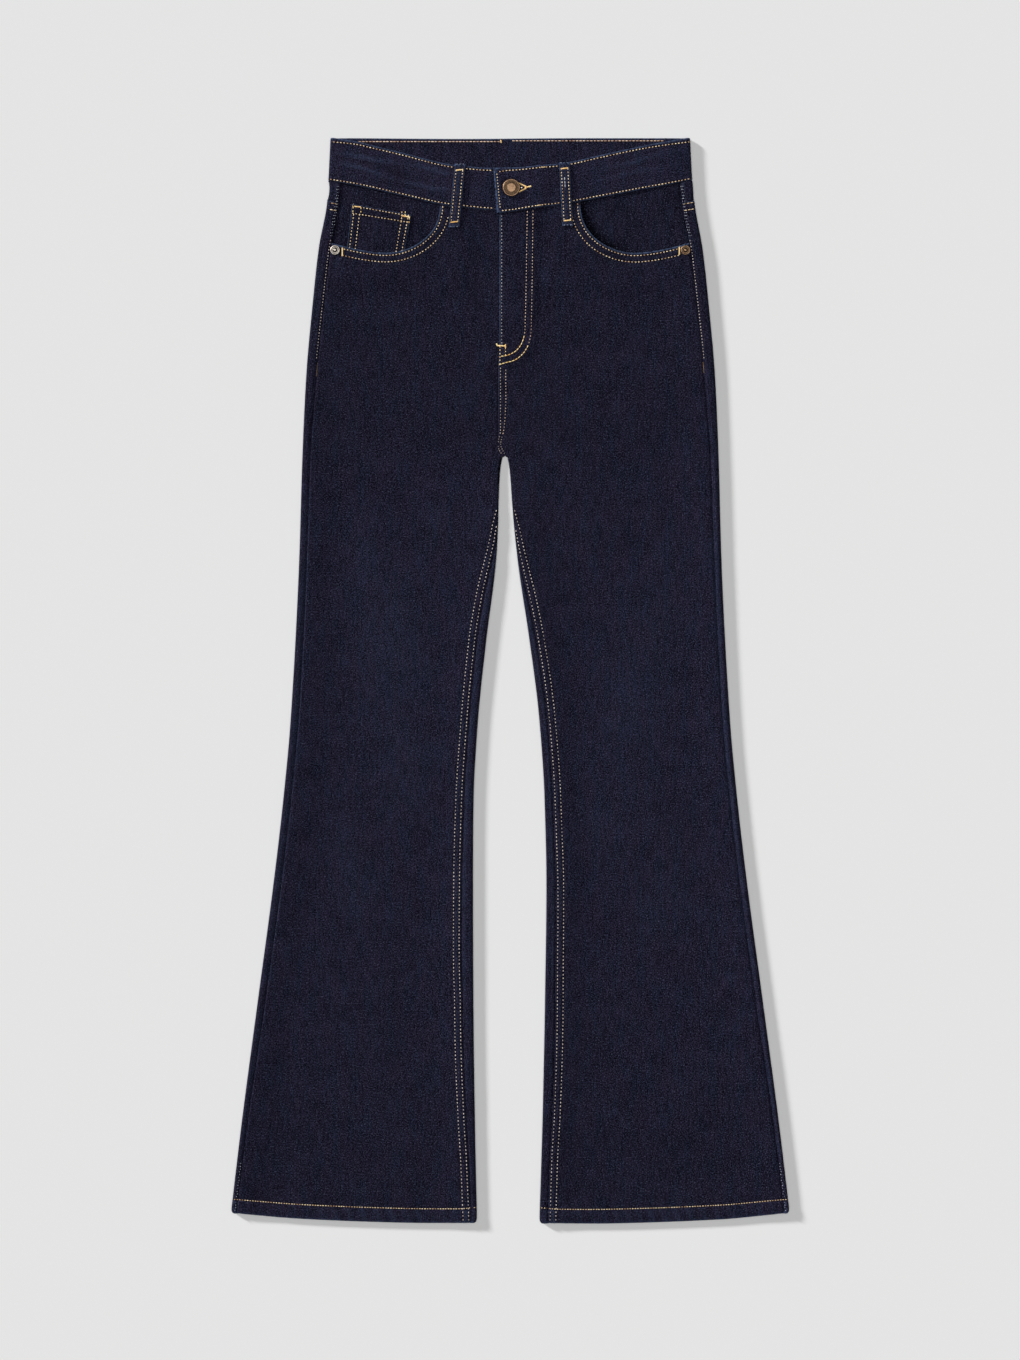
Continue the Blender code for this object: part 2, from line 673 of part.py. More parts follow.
def turned(name, finish, profile, steps, at):
    """A round piece: a profile of radius and height, spun about its upright axis."""
    lathe = bmesh.new()
    points = [lathe.verts.new((radius, 0.0, height)) for radius, height in profile]
    edges = [lathe.edges.new(pair) for pair in zip(points, points[1:])]
    bmesh.ops.spin(lathe, geom=points + edges, cent=(0, 0, 0), axis=(0, 0, 1),
                   angle=2 * math.pi, steps=steps, use_merge=True)
    bmesh.ops.remove_doubles(lathe, verts=lathe.verts, dist=1e-6)
    bmesh.ops.transform(lathe, matrix=Matrix.Translation(at), verts=lathe.verts)
    return add(name, lathe, finish)


def button(finish):
    """A shank button: a neck, a cap with a raised rim, a sunk ring and a flat middle."""
    profile = [(0.0, 0.0), (0.0042, 0.0), (0.0042, 0.0004), (0.0078, 0.0005), (0.0087, 0.0013),
               (0.0083, 0.0022), (0.0074, 0.0026), (0.0067, 0.0021), (0.0048, 0.0020),
               (0.0042, 0.0025), (0.0, 0.0026)]
    base = band_front_height(BUTTON_X) + GAP
    return turned("button", finish, profile, 28, (BUTTON_X, LENGTH / 2 - BUTTON_DROP, base))


def rivet(side, finish):
    """A pocket rivet: a low cap with a rim and a small nub."""
    profile = [(0.0, 0.0), (0.0046, 0.0), (0.0048, 0.0005), (0.0041, 0.0010), (0.0024, 0.0008),
               (0.0016, 0.0013), (0.0, 0.0015)]
    x, drop = side * RIVET_X, RIVET_DROP
    reach = (-0.005, 0.0, 0.005)
    skin = max(leg_point(side, "outer", drop, along(outer_edge(drop) - abs(x + step),
               outer_roll(drop)), 0).z for step in reach)
    name = "rivet_right" if side < 0 else "rivet_left"
    return turned(name, finish, profile, 20, (x, LENGTH / 2 - drop, skin + GAP))


def build():
    for item in list(bpy.data.objects):
        bpy.data.objects.remove(item, do_unlink=True)
    denim = (0.0137, 0.0150, 0.0296)
    antique = (0.2600, 0.1900, 0.1150)
    front = material("denim_front", denim, 0.85)
    back = material("denim_back", (0.0125, 0.0137, 0.0270), 0.85)
    band = material("denim_waistband", (0.0152, 0.0168, 0.0320), 0.85)
    facing_denim = material("denim_facing", (0.0120, 0.0130, 0.0255), 0.88)
    patch = material("denim_patch", (0.0145, 0.0160, 0.0310), 0.86)
    loops = material("denim_loop", (0.0150, 0.0165, 0.0315), 0.86)
    tape = material("zip_tape", (0.0110, 0.0115, 0.0200), 0.80)
    brass = material("antique_brass", antique, 0.45, 1.0)
    copper = material("aged_rivet_brass", (0.2300, 0.1700, 0.1050), 0.50, 1.0)
    for side in (-1, 1):
        front_panel(side, front)
        back_panel(side, back)
        yoke(side, back)
        facing(side, facing_denim)
        back_pocket(side, patch)
        rivet(side, copper)
    waistband(band)
    coin_pocket(patch)
    for row in FRONT_LOOPS:
        front_loop(row, loops)
    for row in BACK_LOOPS:
        back_loop(row, loops)
    fly_zip(tape)
    button(brass)


build()
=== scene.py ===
# Flared jeans laid flat with the front up. Each panel is a thin shell of denim on its solid's
# form, with its seams, and every stitch is a piece of thread.
import math

import bmesh
import bpy
import numpy as np
from mathutils import Matrix, Vector
from mathutils.bvhtree import BVHTree


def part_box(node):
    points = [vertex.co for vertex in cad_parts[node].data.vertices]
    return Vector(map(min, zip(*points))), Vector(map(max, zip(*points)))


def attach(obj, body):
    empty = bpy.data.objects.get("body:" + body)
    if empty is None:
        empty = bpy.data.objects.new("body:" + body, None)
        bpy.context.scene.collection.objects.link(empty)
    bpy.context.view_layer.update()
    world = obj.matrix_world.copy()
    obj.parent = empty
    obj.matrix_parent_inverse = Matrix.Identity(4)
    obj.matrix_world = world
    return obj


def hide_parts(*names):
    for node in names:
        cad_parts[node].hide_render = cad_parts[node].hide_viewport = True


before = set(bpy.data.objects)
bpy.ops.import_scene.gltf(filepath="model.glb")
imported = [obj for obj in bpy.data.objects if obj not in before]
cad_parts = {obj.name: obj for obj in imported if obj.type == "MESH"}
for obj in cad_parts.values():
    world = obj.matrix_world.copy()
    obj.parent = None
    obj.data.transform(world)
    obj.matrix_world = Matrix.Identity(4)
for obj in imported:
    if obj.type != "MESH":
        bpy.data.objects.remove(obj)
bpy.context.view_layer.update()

mm = 0.001

# Millimetres from here on. x is across, to the wearer's left, and a drop is measured down the
# garment from the top of the waistband's back. A side is -1, the wearer's right, or 1, the left.
sideNames = {-1: "Right", 1: "Left"}
jeans = {
    "length": 1083.2,
    "denim": 1.1,            # one layer
    "gap": 0.3,              # between layers that touch
    "settle": 45.0,          # in from a folded side, the front comes to lie on the back
    "seatLift": 1.5,         # the seat lies over the back pockets and loops
    "liftFrom": 6.0, "liftMiddle": 14.0, "liftTo": 22.0,           # in from the side
    "seatEnd": 262.0, "thighStart": 309.0,     # drops
    "crotch": 316.6,
    "hemHeight": 14.0, "hemWall": 2.0, "hemThickens": 1030.0,
    "hemRise": 9.0, "hemRiseFrom": 930.0,      # the hem is higher at its outer corner
    "hemSag": {-1: 1.0, 1: 1.7},               # and hangs a little lower along its middle
    "cornerIn": 2.6, "cornerSize": 1.5,        # round corners of the hem
}
gap = jeans["gap"]
hemTop = jeans["length"] - jeans["hemHeight"]
sides = {                    # half the width, the side seam's distance in, the fold's radius
    "drop":   [0, 41, 61, 111, 161, 236, 318, 421, 581, 661, 741, 861, 981, 1083],
    "edge":   [179.9, 182.0, 183.4, 191.9, 197.4, 204.1, 208.0, 211.2, 219.8, 227.2, 236.5,
               252.5, 268.4, 280.6],
    "seamIn": [12.5, 12.5, 12.2, 12.0, 11.5, 10.3, 8.0, 7.6, 7.8, 7.8, 7.7, 7.5, 5.8, 5.5],
    "fold":   [2.9, 2.9, 3.0, 3.0, 2.9, 2.8, 2.7, 2.7, 2.6, 2.6, 2.6, 2.6, 2.6, 2.6],
}
between = {                  # the gap between the legs
    "drop":   [316.6, 317.2, 320.7, 331, 361, 381, 421, 501, 581, 661, 741, 861, 981, 1083],
    "middle": [-5.3, -5.3, -5.3, -5.3, -5.0, -4.4, -3.4, -2.4, -1.6, -1.2, -0.6, -1.1, -1.6, -2.1],
    "half":   [0.2, 2.0, 3.1, 4.7, 6.6, 7.6, 10.8, 21.6, 30.7, 35.5, 36.7, 35.8, 33.8, 31.2],
    "fold":   [1.25, 1.3, 1.4, 1.7, 2.2, 2.4, 2.55, 2.6, 2.6, 2.6, 2.6, 2.6, 2.6, 2.6],
}
inseams = {                  # how far round the fold each inseam lies, less than 0 underneath
    -1: {"drop": [316.6, 325, 340, 360, 371, 384, 401, 421, 441, 461, 501, 581, 661, 741, 821, 861,
                  901, 981, 1021, 1083],
         "run": [-2, -5, -8, -6, -3.2, 0, 2.2, 5.2, 7.8, 9.3, 10.5, 10.0, 10.9, 12.4, 12.8, 12.0,
                 11.8, 9.8, 8.1, 6.9]},
    1: {"drop": [316.6, 325, 340, 360, 371, 381, 391, 401, 421, 441, 461, 501, 541, 621, 701, 741,
                 821, 901, 941, 981, 1021, 1083],
        "run": [-2, -5, -8, -6, -3.3, -1.5, 0.3, 1.0, 2.9, 4.8, 6.3, 8.0, 8.9, 9.3, 9.7, 10.4, 10.9,
                11.6, 11.3, 10.6, 9.4, 9.5]},
}
centres = {                  # x of the centre seams
    "drop":  [30, 206, 226, 300, 309, 314, 316.6],
    "front": [-10.8, -10.8, -12.0, -12.3, -11.3, -8.5, -5.3],
    "back":  [-3.3, -4.5, -4.6, -5.2, -5.3, -5.3, -5.3],
}
dips = {                     # the waistband's edges in front
    "x":      [-182, -154, -140, -110, -70, -58, -16, 4, 30, 54, 90, 130, 152, 182],
    "top":    [0, 2.9, 6.1, 13.1, 23.4, 25.6, 28.9, 28.7, 26.3, 23.8, 16.1, 7.6, 4.0, 0],
    "bottom": [41.7, 46.2, 49.1, 56.0, 65.0, 66.8, 70.8, 71.2, 68.0, 64.8, 58.2, 50.6, 46.7, 41.0],
}


def ramp(value, start, end):
    return np.clip((value - start) / (end - start), 0.0, 1.0)


def ease(value, start, end):
    t = ramp(value, start, end)
    return t * t * (3.0 - 2.0 * t)


def mix(a, b, t):
    return a + (b - a) * t


def bell(distance, width):
    return np.exp(-(distance / width) ** 2)


def smooth(table, column, at, key="drop"):       # a smooth curve through a table's column
    keys, values = np.array(table[key], float), np.array(table[column], float)
    at = np.clip(np.asarray(at, float), keys[0], keys[-1])
    i = np.clip(np.searchsorted(keys, at, side="right") - 1, 0, len(keys) - 2)
    spans = np.diff(keys)
    slopes = np.diff(values) / spans
    tangents = np.concatenate([slopes[:1], np.zeros(len(keys) - 2), slopes[-1:]])
    before, after = slopes[:-1], slopes[1:]
    turning = before * after <= 0
    total = np.where(turning, 1.0, before + after)
    tangents[1:-1] = np.where(turning, 0.0, 2 * before * after / total)
    t = (at - keys[i]) / spans[i]
    change = values[i + 1] - values[i]
    bend = (1 - t) * tangents[i] * spans[i] - t * tangents[i + 1] * spans[i] - (1 - 2 * t) * change
    return values[i] + change * t + t * (1 - t) * bend


def outerEdge(drop):
    return smooth(sides, "edge", drop)


def innerEdge(side, drop):
    return smooth(between, "middle", drop) + side * smooth(between, "half", drop)


def inseam(side, drop):
    return smooth(inseams[side], "run", drop)


def dip(x, column):
    return smooth(dips, column, x, key="x")


def rolled(s, radius):       # round a fold: s runs along the cloth, up and over to the front
    quarter = np.pi * radius / 2
    angle = np.clip(s, -quarter, quarter) / radius
    beyond = np.maximum(np.abs(s) - quarter, 0)
    return radius * (1 - np.cos(angle)) + beyond, radius * (1 + np.sin(angle))


def along(inward, radius):   # the same s, from the distance in
    arc = radius * np.arccos(np.clip(1 - inward / radius, -1, 1))
    return np.where(inward >= radius, inward - radius + np.pi * radius / 2, arc)


def slanted(side, drop, across):     # the hem's slant, from the outer edge, 0, to the inner, 1
    down = ramp(drop, jeans["hemRiseFrom"], hemTop)
    sag = ease(across, 0, 0.28) * (1 - 0.55 * ease(across, 0.75, 1))
    return drop + (jeans["hemSag"][side] * sag - jeans["hemRise"] * (1 - across) ** 2) * down


def seamX(side, drop):       # x of the side seam
    return side * (outerEdge(drop) - smooth(sides, "seamIn", drop))


# Lines on the garment, as arrays of x and drop
def lineOf(x, drop):
    return np.stack(np.broadcast_arrays(x, drop), axis=1)


def arcLength(line):
    return np.concatenate([[0.0], np.cumsum(np.hypot(*np.diff(line, axis=0).T))])


def evenly(line, count):     # count points at even distances
    run = arcLength(line)
    at = np.linspace(0, run[-1], count)
    return lineOf(np.interp(at, run, line[:, 0]), np.interp(at, run, line[:, 1]))


def curved(points, step=1.0):      # a smooth line through a few points
    points = np.array(points, float)
    run = arcLength(points)
    table = {"s": run, "x": points[:, 0], "drop": points[:, 1]}
    at = np.linspace(0, run[-1], max(int(run[-1] / step), 2))
    return lineOf(smooth(table, "x", at, "s"), smooth(table, "drop", at, "s"))


def aside(line, distance):   # a line moved to its left
    way = np.gradient(line, axis=0)
    way /= np.hypot(way[:, 0], way[:, 1])[:, None]
    return line + lineOf(way[:, 1], -way[:, 0]) * distance


def distanceTo(line, x, drop):     # of each point from a line, and how far along the line it is
    best = np.full(np.shape(x), 1e9)
    where = np.zeros(np.shape(x))
    run = arcLength(line)
    for i in range(len(line) - 1):
        step = line[i + 1] - line[i]
        size = step @ step
        t = np.clip(((x - line[i, 0]) * step[0] + (drop - line[i, 1]) * step[1]) / size, 0, 1)
        apart = np.hypot(x - line[i, 0] - t * step[0], drop - line[i, 1] - t * step[1])
        nearer = apart < best
        best = np.where(nearer, apart, best)
        where = np.where(nearer, run[i] + t * math.sqrt(size), where)
    return best, where


# The layers' heights
far = 99.0                   # stands for the distance from an edge that a place doesn't have
mouth = {                    # a front pocket's edge
    "inner": 70.3, "low": 125.0, "outer": 179.0,     # x
    "top": 68.0, "bottom": 113.8, "rise": 10.0,      # drops
    "rows": [2.8, 9.2],      # the two rows of stitches, from the edge
    "stitchesEnd": 167.5,
    "gape": {-1: 0.4, 1: 2.7},
}
facing = {
    "inner": 50.0, "bottom": 139.0, "fadeX": (30.0, 48.0), "fadeDrop": (141.0, 165.0),
    "columns": 44, "rows": 30,
    "flat": (0.13, 0.1),
}
coin = {
    "corners": [(-158.3, 64.7), (-98.8, 75.5), (-164.5, 118.0), (-107.0, 121.0)],
    "patch": 1.2,
    "riseX": (-175.0, -167.0), "fadeX": (-94.0, -76.0), "fadeDrop": (130.0, 155.0),
    "size": (60.0, 50.0), "sewnSize": (60.5, 53.0), "flat": (0.064, 0.056),
    "hem": [2.0, 9.2],       # rows of stitches below the top edge
    "sideRows": [3.0, 8.9],
}
fly = {
    "end": 206.0, "lap": 6.0, "lapEnd": 220.0, "raised": 1.4, "fade": 9.0,
    "edgeRow": 2.3,
    "inner": [(17.1, 71.2), (14.7, 190.7), (13.2, 199.7), (8.2, 209.2), (2.7, 213.7),
              (-5.3, 216.7), (-12.8, 217.4)],
    "outer": [(22.8, 70.6), (20.9, 190.7), (19.2, 201.7), (15.2, 211.2), (8.7, 218.2),
              (2.7, 221.7), (-5.3, 223.7), (-11.6, 225.7)],
    "facingDrops": [72, 190.7, 201.7, 211.2, 218.2, 225.7],        # the fly's facing, under the lap
    "facingX": [22.8, 20.9, 19.2, 15.2, 8.7, -11.6],
    "golden": 38,            # the last points of its rows are sewn in the bar tacks' thread
}
band = {
    "wall": 2.0, "lift": 1.2, "settle": 30.0, "height": 41.0,
    "underEnd": 25.0, "overTop": -16.8, "overBottom": -13.3, "step": (28.0, 46.0),
    "seam": 41.0,            # drop of its lower edge at the back
    "corner": 3.0,           # the lap hangs lower at its end
    "topRow": 2.5, "bottomRow": 1.7, "endRow": 3.4,
}
loops = {
    "half": 5.25, "long": 63.0, "wall": 1.5, "rows": 3.3,
    "front": {"Right": (-50.1, 25.0, -56.3, 88.5), "Left": (53.9, 23.5, 57.4, 87.0)},
    "back": {"Right": -108.0, "Centre": -3.3, "Left": 102.0},
    "backTop": 0.5, "backEnd": 62.0,
    "tacks": (6.3, 5.2),     # bar tacks this far in from the top and the end
    "arch": 0.7,
    "frontFlat": (0.012, 0.066), "backFlat": (0.012, 0.064),
}


def mouthLine(side):         # a pocket's edge, from the side seam up to the waistband
    t = np.linspace(1, 0, 30)[:-1]
    slow = lineOf(mix(mouth["low"], mouth["outer"], t), mouth["bottom"] - mouth["rise"] * t ** 1.6)
    angle = np.linspace(0, np.pi / 2, 40)
    quick = lineOf(mouth["low"] - (mouth["low"] - mouth["inner"]) * np.sin(angle),
                   mouth["top"] + (mouth["bottom"] - mouth["top"]) * np.cos(angle))
    corner = [[mouth["inner"], dip(side * mouth["inner"], "bottom") + gap]]
    line = np.concatenate([slow, quick, corner])
    line[0, 0] = abs(seamX(side, line[0, 1])) - gap / 2
    return line * [side, 1]


def denimWall(drop):
    return mix(jeans["denim"], jeans["hemWall"], ramp(drop, hemTop - 2.5, hemTop))


def seatLift(x, drop):
    down = 1 - ease(drop, jeans["seatEnd"], jeans["thighStart"])
    return jeans["seatLift"] * ease(outerEdge(drop) - np.abs(x), jeans["liftFrom"], jeans["liftTo"]) * down


def facingLift(x, drop):
    across = ease(np.abs(x), *facing["fadeX"])
    return (jeans["denim"] + gap) * across * (1 - ease(drop, *facing["fadeDrop"]))


def bandLift(x, drop):
    return band["lift"] * (1 - ease(drop - dip(x, "bottom"), 0.0, band["settle"]))


def flyLift(x, drop):        # the lap, with the fly's facing under it as far as the J of stitches
    beyond, _ = distanceTo(curved(fly["outer"], 4.0), x, drop)
    inside = (x < np.interp(drop, fly["facingDrops"], fly["facingX"])) & (drop < 226)
    return fly["raised"] * np.where(inside, 1.0, 1 - ease(beyond, 0.5, fly["fade"]))


def coinLift(x, drop):
    across = ease(x, *coin["riseX"]) * (1 - ease(x, *coin["fadeX"]))
    return (coin["patch"] + gap) * across * (1 - ease(drop, *coin["fadeDrop"]))


def frontHeight(side, x, drop, over=True):       # over: with what the coin pocket and the fly add
    lifted = np.maximum(facingLift(x, drop), bandLift(x, drop))
    level = seatLift(x, drop) + 2 * denimWall(drop) + gap + lifted
    thickened = np.maximum(level, 2 * jeans["hemWall"] + gap)
    level = mix(level, thickened, ramp(drop, jeans["hemThickens"], hemTop))
    if over and side > 0:
        level = level + flyLift(x, drop)
    radius = smooth(sides, "fold", drop)
    height = mix(2 * radius, level, ease(outerEdge(drop) - np.abs(x), radius, jeans["settle"]))
    radius = smooth(between, "fold", drop)
    rising = (2 * radius - level) * (1 - ease(side * (x - innerEdge(side, drop)), radius, jeans["settle"]))
    height = height + np.where(drop >= jeans["crotch"] - 0.01, rising, 0)
    if over and side < 0:
        height = height + coinLift(x, drop)
    return height


def lapLow(x):
    return band["corner"] * (1 - ease(x, -15.0, 16.0))


# What sewing, wear and lying about do to the cloth
seams = {
    "tuck": 0.75, "tuckWidth": 0.9,          # a panel turns down into its seam
    "sink": 0.28, "sinkWidth": 1.5,          # a row of stitches pulls the cloth in
    "pucker": 0.22, "puckerReach": 7.0, "puckerLength": 10.5,
}
marks = {                    # strength and reach of a line: more than 0 is rubbed pale, less than 0 is painted shade, and so is the loops' mark
    "mouthLip": (1.0, 1.5), "hemEdge": (0.55, 1.2), "flyEdge": (0.9, 1.6), "crotchShade": (-1.4, 2.3),
    "frontSeam": (0.12, 1.3), "shadeUnderBand": (-0.35, 1.8), "shadeBesideFly": (-0.3, 1.5), "inseam": (0.14, 2.4),
    "backHem": (0.5, 1.2), "yokeSeam": (0.7, 1.0), "backInseam": (0.12, 1.6), "yokeSide": (0.16, 1.6),
    "bandTop": (0.8, 1.2), "bandBottom": (0.6, 0.8), "bandEnd": (0.9, 2.4), "button": (-0.45, 1.0),
    "shadeBesideLapEnd": (-0.5, 1.3), "shadeDeepInPocket": (-0.85, 10), "shadeInMouth": (-0.3, 2.5), "shadeUnderBandOnFacing": (-0.4, 1.8),
    "shadeAtFacingSeam": (-0.4, 1.5), "shadeBesidePatch": (-0.4, 2.0), "patchEdge": (0.45, 0.9),
    "pocketEdge": (0.8, 1.0), "loopEdge": (0.6, 0.8), "loopEnd": (0.6, 1.6), "backLoop": (0.85, 0.9),
    "shadeBesideLoop": (0.4, 1.3),
}
bends = [  # x, drop, half length, half width, height, turn in degrees: soft troughs and ridges
    (-118, 508, 150, 34, 0.9, 4), (-70, 372, 62, 13, 0.6, -24), (-98, 338, 70, 12, -0.5, -34),
    (-150, 402, 80, 16, 0.5, 10), (-104, 640, 70, 26, 0.6, -12), (-152, 742, 95, 20, 0.5, 9),
    (-92, 812, 80, 18, -0.4, -6), (-178, 930, 110, 24, 0.6, 11), (-112, 982, 90, 26, 0.5, -5),
    (-40, 262, 46, 10, 0.4, -40), (-150, 250, 60, 15, 0.4, 16),
    (122, 560, 140, 32, 0.8, -6), (72, 376, 58, 12, 0.6, 26), (104, 344, 66, 13, -0.5, 36),
    (158, 430, 84, 15, 0.5, -8), (186, 545, 60, 11, -0.5, -6), (96, 690, 66, 24, 0.5, 10),
    (150, 770, 100, 22, 0.5, -10), (182, 925, 100, 22, 0.6, -13), (96, 900, 86, 20, -0.4, 5),
    (128, 1010, 70, 26, 0.4, -3), (44, 268, 42, 10, 0.4, 38), (146, 236, 66, 16, 0.4, -15),
]


def mark(name, distance):
    strength, width = marks[name]
    return strength * bell(distance, width)


def tuck(distance):
    return -seams["tuck"] * bell(distance, seams["tuckWidth"])


def bent(x, drop):
    total = np.zeros(np.shape(x))
    for atX, atDrop, half, wide, high, turn in bends:
        c, s = math.cos(math.radians(turn)), math.sin(math.radians(turn))
        down = (drop - atDrop) * c + (x - atX) * s
        across = (x - atX) * c - (drop - atDrop) * s
        total += high * bell(across, wide) * ease(1 - np.abs(down) / half, 0.0, 1.0)
    return total


def ripples(run, seed):      # uneven waves along a seam, from -1 to 1
    slow = np.sin(run / 23.0 + seed) + 0.6 * np.sin(run / 61.0 + 2.1 * seed)
    wave = np.sin(2 * np.pi * run / seams["puckerLength"] + 1.4 * slow + 3.7 * seed)
    return wave * (0.55 + 0.45 * np.sin(run / 37.0 + 5.3 * seed))


def rowSink(distance, run, seed, pucker=1.0):    # the cloth's height about a row of stitches
    near = bell(distance, seams["puckerReach"])
    sunk = -seams["sink"] * bell(distance, seams["sinkWidth"])
    return sunk + seams["pucker"] * pucker * near * ripples(run, seed)


def hemShape(fromHem, run, seed):                # a turned-up hem: a soft roll, twisting along it
    high = jeans["hemHeight"]
    inHem = ease(-fromHem, -high - 1.5, -high + 1.0)
    twist = np.sin(2 * np.pi * (run + 0.9 * fromHem) / 11.0 + 1.5 * np.sin(run / 29.0 + seed))
    raised = 0.35 * np.sin(np.pi * np.clip(fromHem / (high - 0.5), 0, 1))
    return inHem * (raised + 0.16 * twist * np.sin(np.pi * np.clip(fromHem / high, 0, 1)))


def toneAndHemStreaks(x, drop, fromHem):  # darker at the hips and on the shins, and the hem rubbed pale in streaks
    kept = 0.1 * (1 - ease(drop, 260, 420)) + 0.07 * ease(drop, 760, 900) + 0.09 * ease(drop, 900, 1040)
    streaks = 0.16 + 0.14 * ripples(0.8 * x + 0.3 * fromHem, 2.0)
    return ease(-fromHem, -14.5, -13.0) * streaks - kept


def paintedLoopShade(x, drop):      # painted shade beside and below the front loops
    shade = 0
    for topX, topDrop, endX, endDrop in loops["front"].values():
        beside = np.abs(x - mix(topX, endX, ramp(drop, topDrop, endDrop))) - 5.3
        shade = shade + mark("shadeBesideLoop", beside - 0.8) * (drop > topDrop) * (drop < endDrop + 1.5)
    return shade


surfaces = {}                # each cloth's faces, for the stitches to find


def addPiece(name, work, finishes, sharp=None):  # a bmesh as an object, its edges sharp from an angle
    mesh = bpy.data.meshes.new(name)
    work.to_mesh(mesh)
    work.free()
    for finish in finishes:
        mesh.materials.append(finish)
    mesh.shade_smooth()
    if sharp:
        mesh.set_sharp_from_angle(angle=math.radians(sharp))
    piece = bpy.data.objects.new(name, mesh)
    bpy.context.scene.collection.objects.link(piece)
    return piece


def shell(name, x, drop, height, wall, out, finish, rim=None, wearAndShade=None, grainDrop=None, inward=0.0):
    # a grid of points as a wall of cloth. out is 1 or -1, rim is the distance from a folded edge,
    # the wear and shade mark is 1 where it is rubbed pale and below 0 where the dye is darkened as
    # painted shade, and inward rounds a corner
    skin = np.stack([x * mm, (jeans["length"] / 2 - drop) * mm, height * mm], axis=-1)
    normal = out * np.cross(np.gradient(skin, axis=1), np.gradient(skin, axis=0))
    normal /= np.maximum(np.linalg.norm(normal, axis=-1, keepdims=True), 1e-12)
    wall = np.broadcast_to(np.asarray(wall, float), x.shape)
    nearness = np.zeros(x.shape) if rim is None else 1 - np.clip(rim / (0.5 * wall), 0, 1)
    thinner = 0.7 * (1 - np.sqrt(1 - nearness ** 2)) * wall
    skins = [skin - normal * depth[..., None] * mm for depth in (thinner / 2, wall - thinner / 2)]
    for layer in skins:
        layer[..., 0] -= inward * mm
    rows, columns = x.shape
    sheet = bmesh.new()
    bmesh.ops.create_grid(sheet, x_segments=columns - 1, y_segments=rows - 1, size=0.5)
    grown = bmesh.ops.extrude_face_region(sheet, geom=sheet.faces[:])
    under = [item for item in grown["geom"] if isinstance(item, bmesh.types.BMVert)]
    bmesh.ops.translate(sheet, verts=under, vec=(0, 0, -1))
    middle = columns // 2
    steps = np.linalg.norm(np.diff(skin, axis=1), axis=-1)
    run = np.concatenate([np.zeros((rows, 1)), np.cumsum(steps, axis=1)], axis=1)
    facingX = math.copysign(1, skin[rows // 2, middle + 1, 0] - skin[rows // 2, middle - 1, 0])
    weaveU = (run - run[:, [middle]]) * facingX + skin[:, [middle], 0]
    weaveV = -(drop if grainDrop is None else grainDrop) * mm
    wearAndShade = np.zeros(x.shape) if wearAndShade is None else np.clip(wearAndShade, -1, 1)
    weave, worn = [], []
    for vert in sheet.verts:
        row, column = round((0.5 - vert.co.y) * (rows - 1)), round((vert.co.x + 0.5) * (columns - 1))
        vert.co = skins[1 if vert.co.z < -0.5 else 0][row, column]
        weave.append((weaveU[row, column], weaveV[row, column]))
        worn.append(wearAndShade[row, column])
    bmesh.ops.recalc_face_normals(sheet, faces=sheet.faces)
    surfaces[name] = BVHTree.FromBMesh(sheet)
    piece = addPiece(name, sheet, [finish], 62)
    mesh = piece.data
    corners = np.zeros(len(mesh.loops), int)
    mesh.loops.foreach_get("vertex_index", corners)
    mesh.uv_layers.new(name="weave").data.foreach_set("uv", np.array(weave)[corners].ravel())
    mesh.attributes.new("wearAndShade", "FLOAT", "POINT").data.foreach_set("value", worn)
    return piece


def lay(piece, node):       # puts a piece under the root and hides the solid it stands for
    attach(piece, "root")
    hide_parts(node)


# Finishes
def linear(code):            # an sRGB hex colour as the renderer's linear one
    parts = [int(code[i:i + 2], 16) / 255 for i in (1, 3, 5)]
    return (*[c / 12.92 if c <= 0.04045 else ((c + 0.055) / 1.055) ** 2.4 for c in parts], 1.0)


def feed(tree, node, inputs):        # sets a node's inputs, or links them to a node or a socket
    for key, value in inputs.items():
        if isinstance(value, bpy.types.Node):
            value = value.outputs[0]
        if isinstance(value, bpy.types.NodeSocket):
            tree.links.new(value, node.inputs[key])
        else:
            node.inputs[key].default_value = value


def addNode(tree, kind, inputs=None, **settings):
    made = tree.nodes.new("ShaderNode" + kind)
    for key, value in settings.items():
        setattr(made, key, value)
    feed(tree, made, inputs or {})
    return made


def newFinish(name, inputs):
    made = bpy.data.materials.new(name)
    made.use_nodes = True
    shader = made.node_tree.nodes["Principled BSDF"]
    feed(made.node_tree, shader, inputs)
    return made, made.node_tree, shader


denimLook = {
    "deep": "#000004", "mid": "#2b263b", "bluer": "#25283e", "fleck": "#565970", "worn": "#4d6080",
    "twill": 1.2,            # a twill line every 0.6 mm in the cloth, drawn twice as coarse to show
    "twillTurn": 63.0,       # degrees: steep, up to the right
    "grain": (1.15, 1.15),   # the yarns' uneven dye, which is what shows from afar
    "slub": (2.4, 16.0),     # uneven warp yarns, across and along
    "fleckSize": (1.0, 1.4),
    "cloud": (26.0, 26.0),   # the dye's slow changes
    "hue": (9.0, 40.0),      # and those of its hue
    "patch": (1.7, 2.6),     # the patches that wear rubs
    "relief": 0.16,
}
waveScale = 0.314            # of a wave texture, times its period: the node draws pi waves in 10


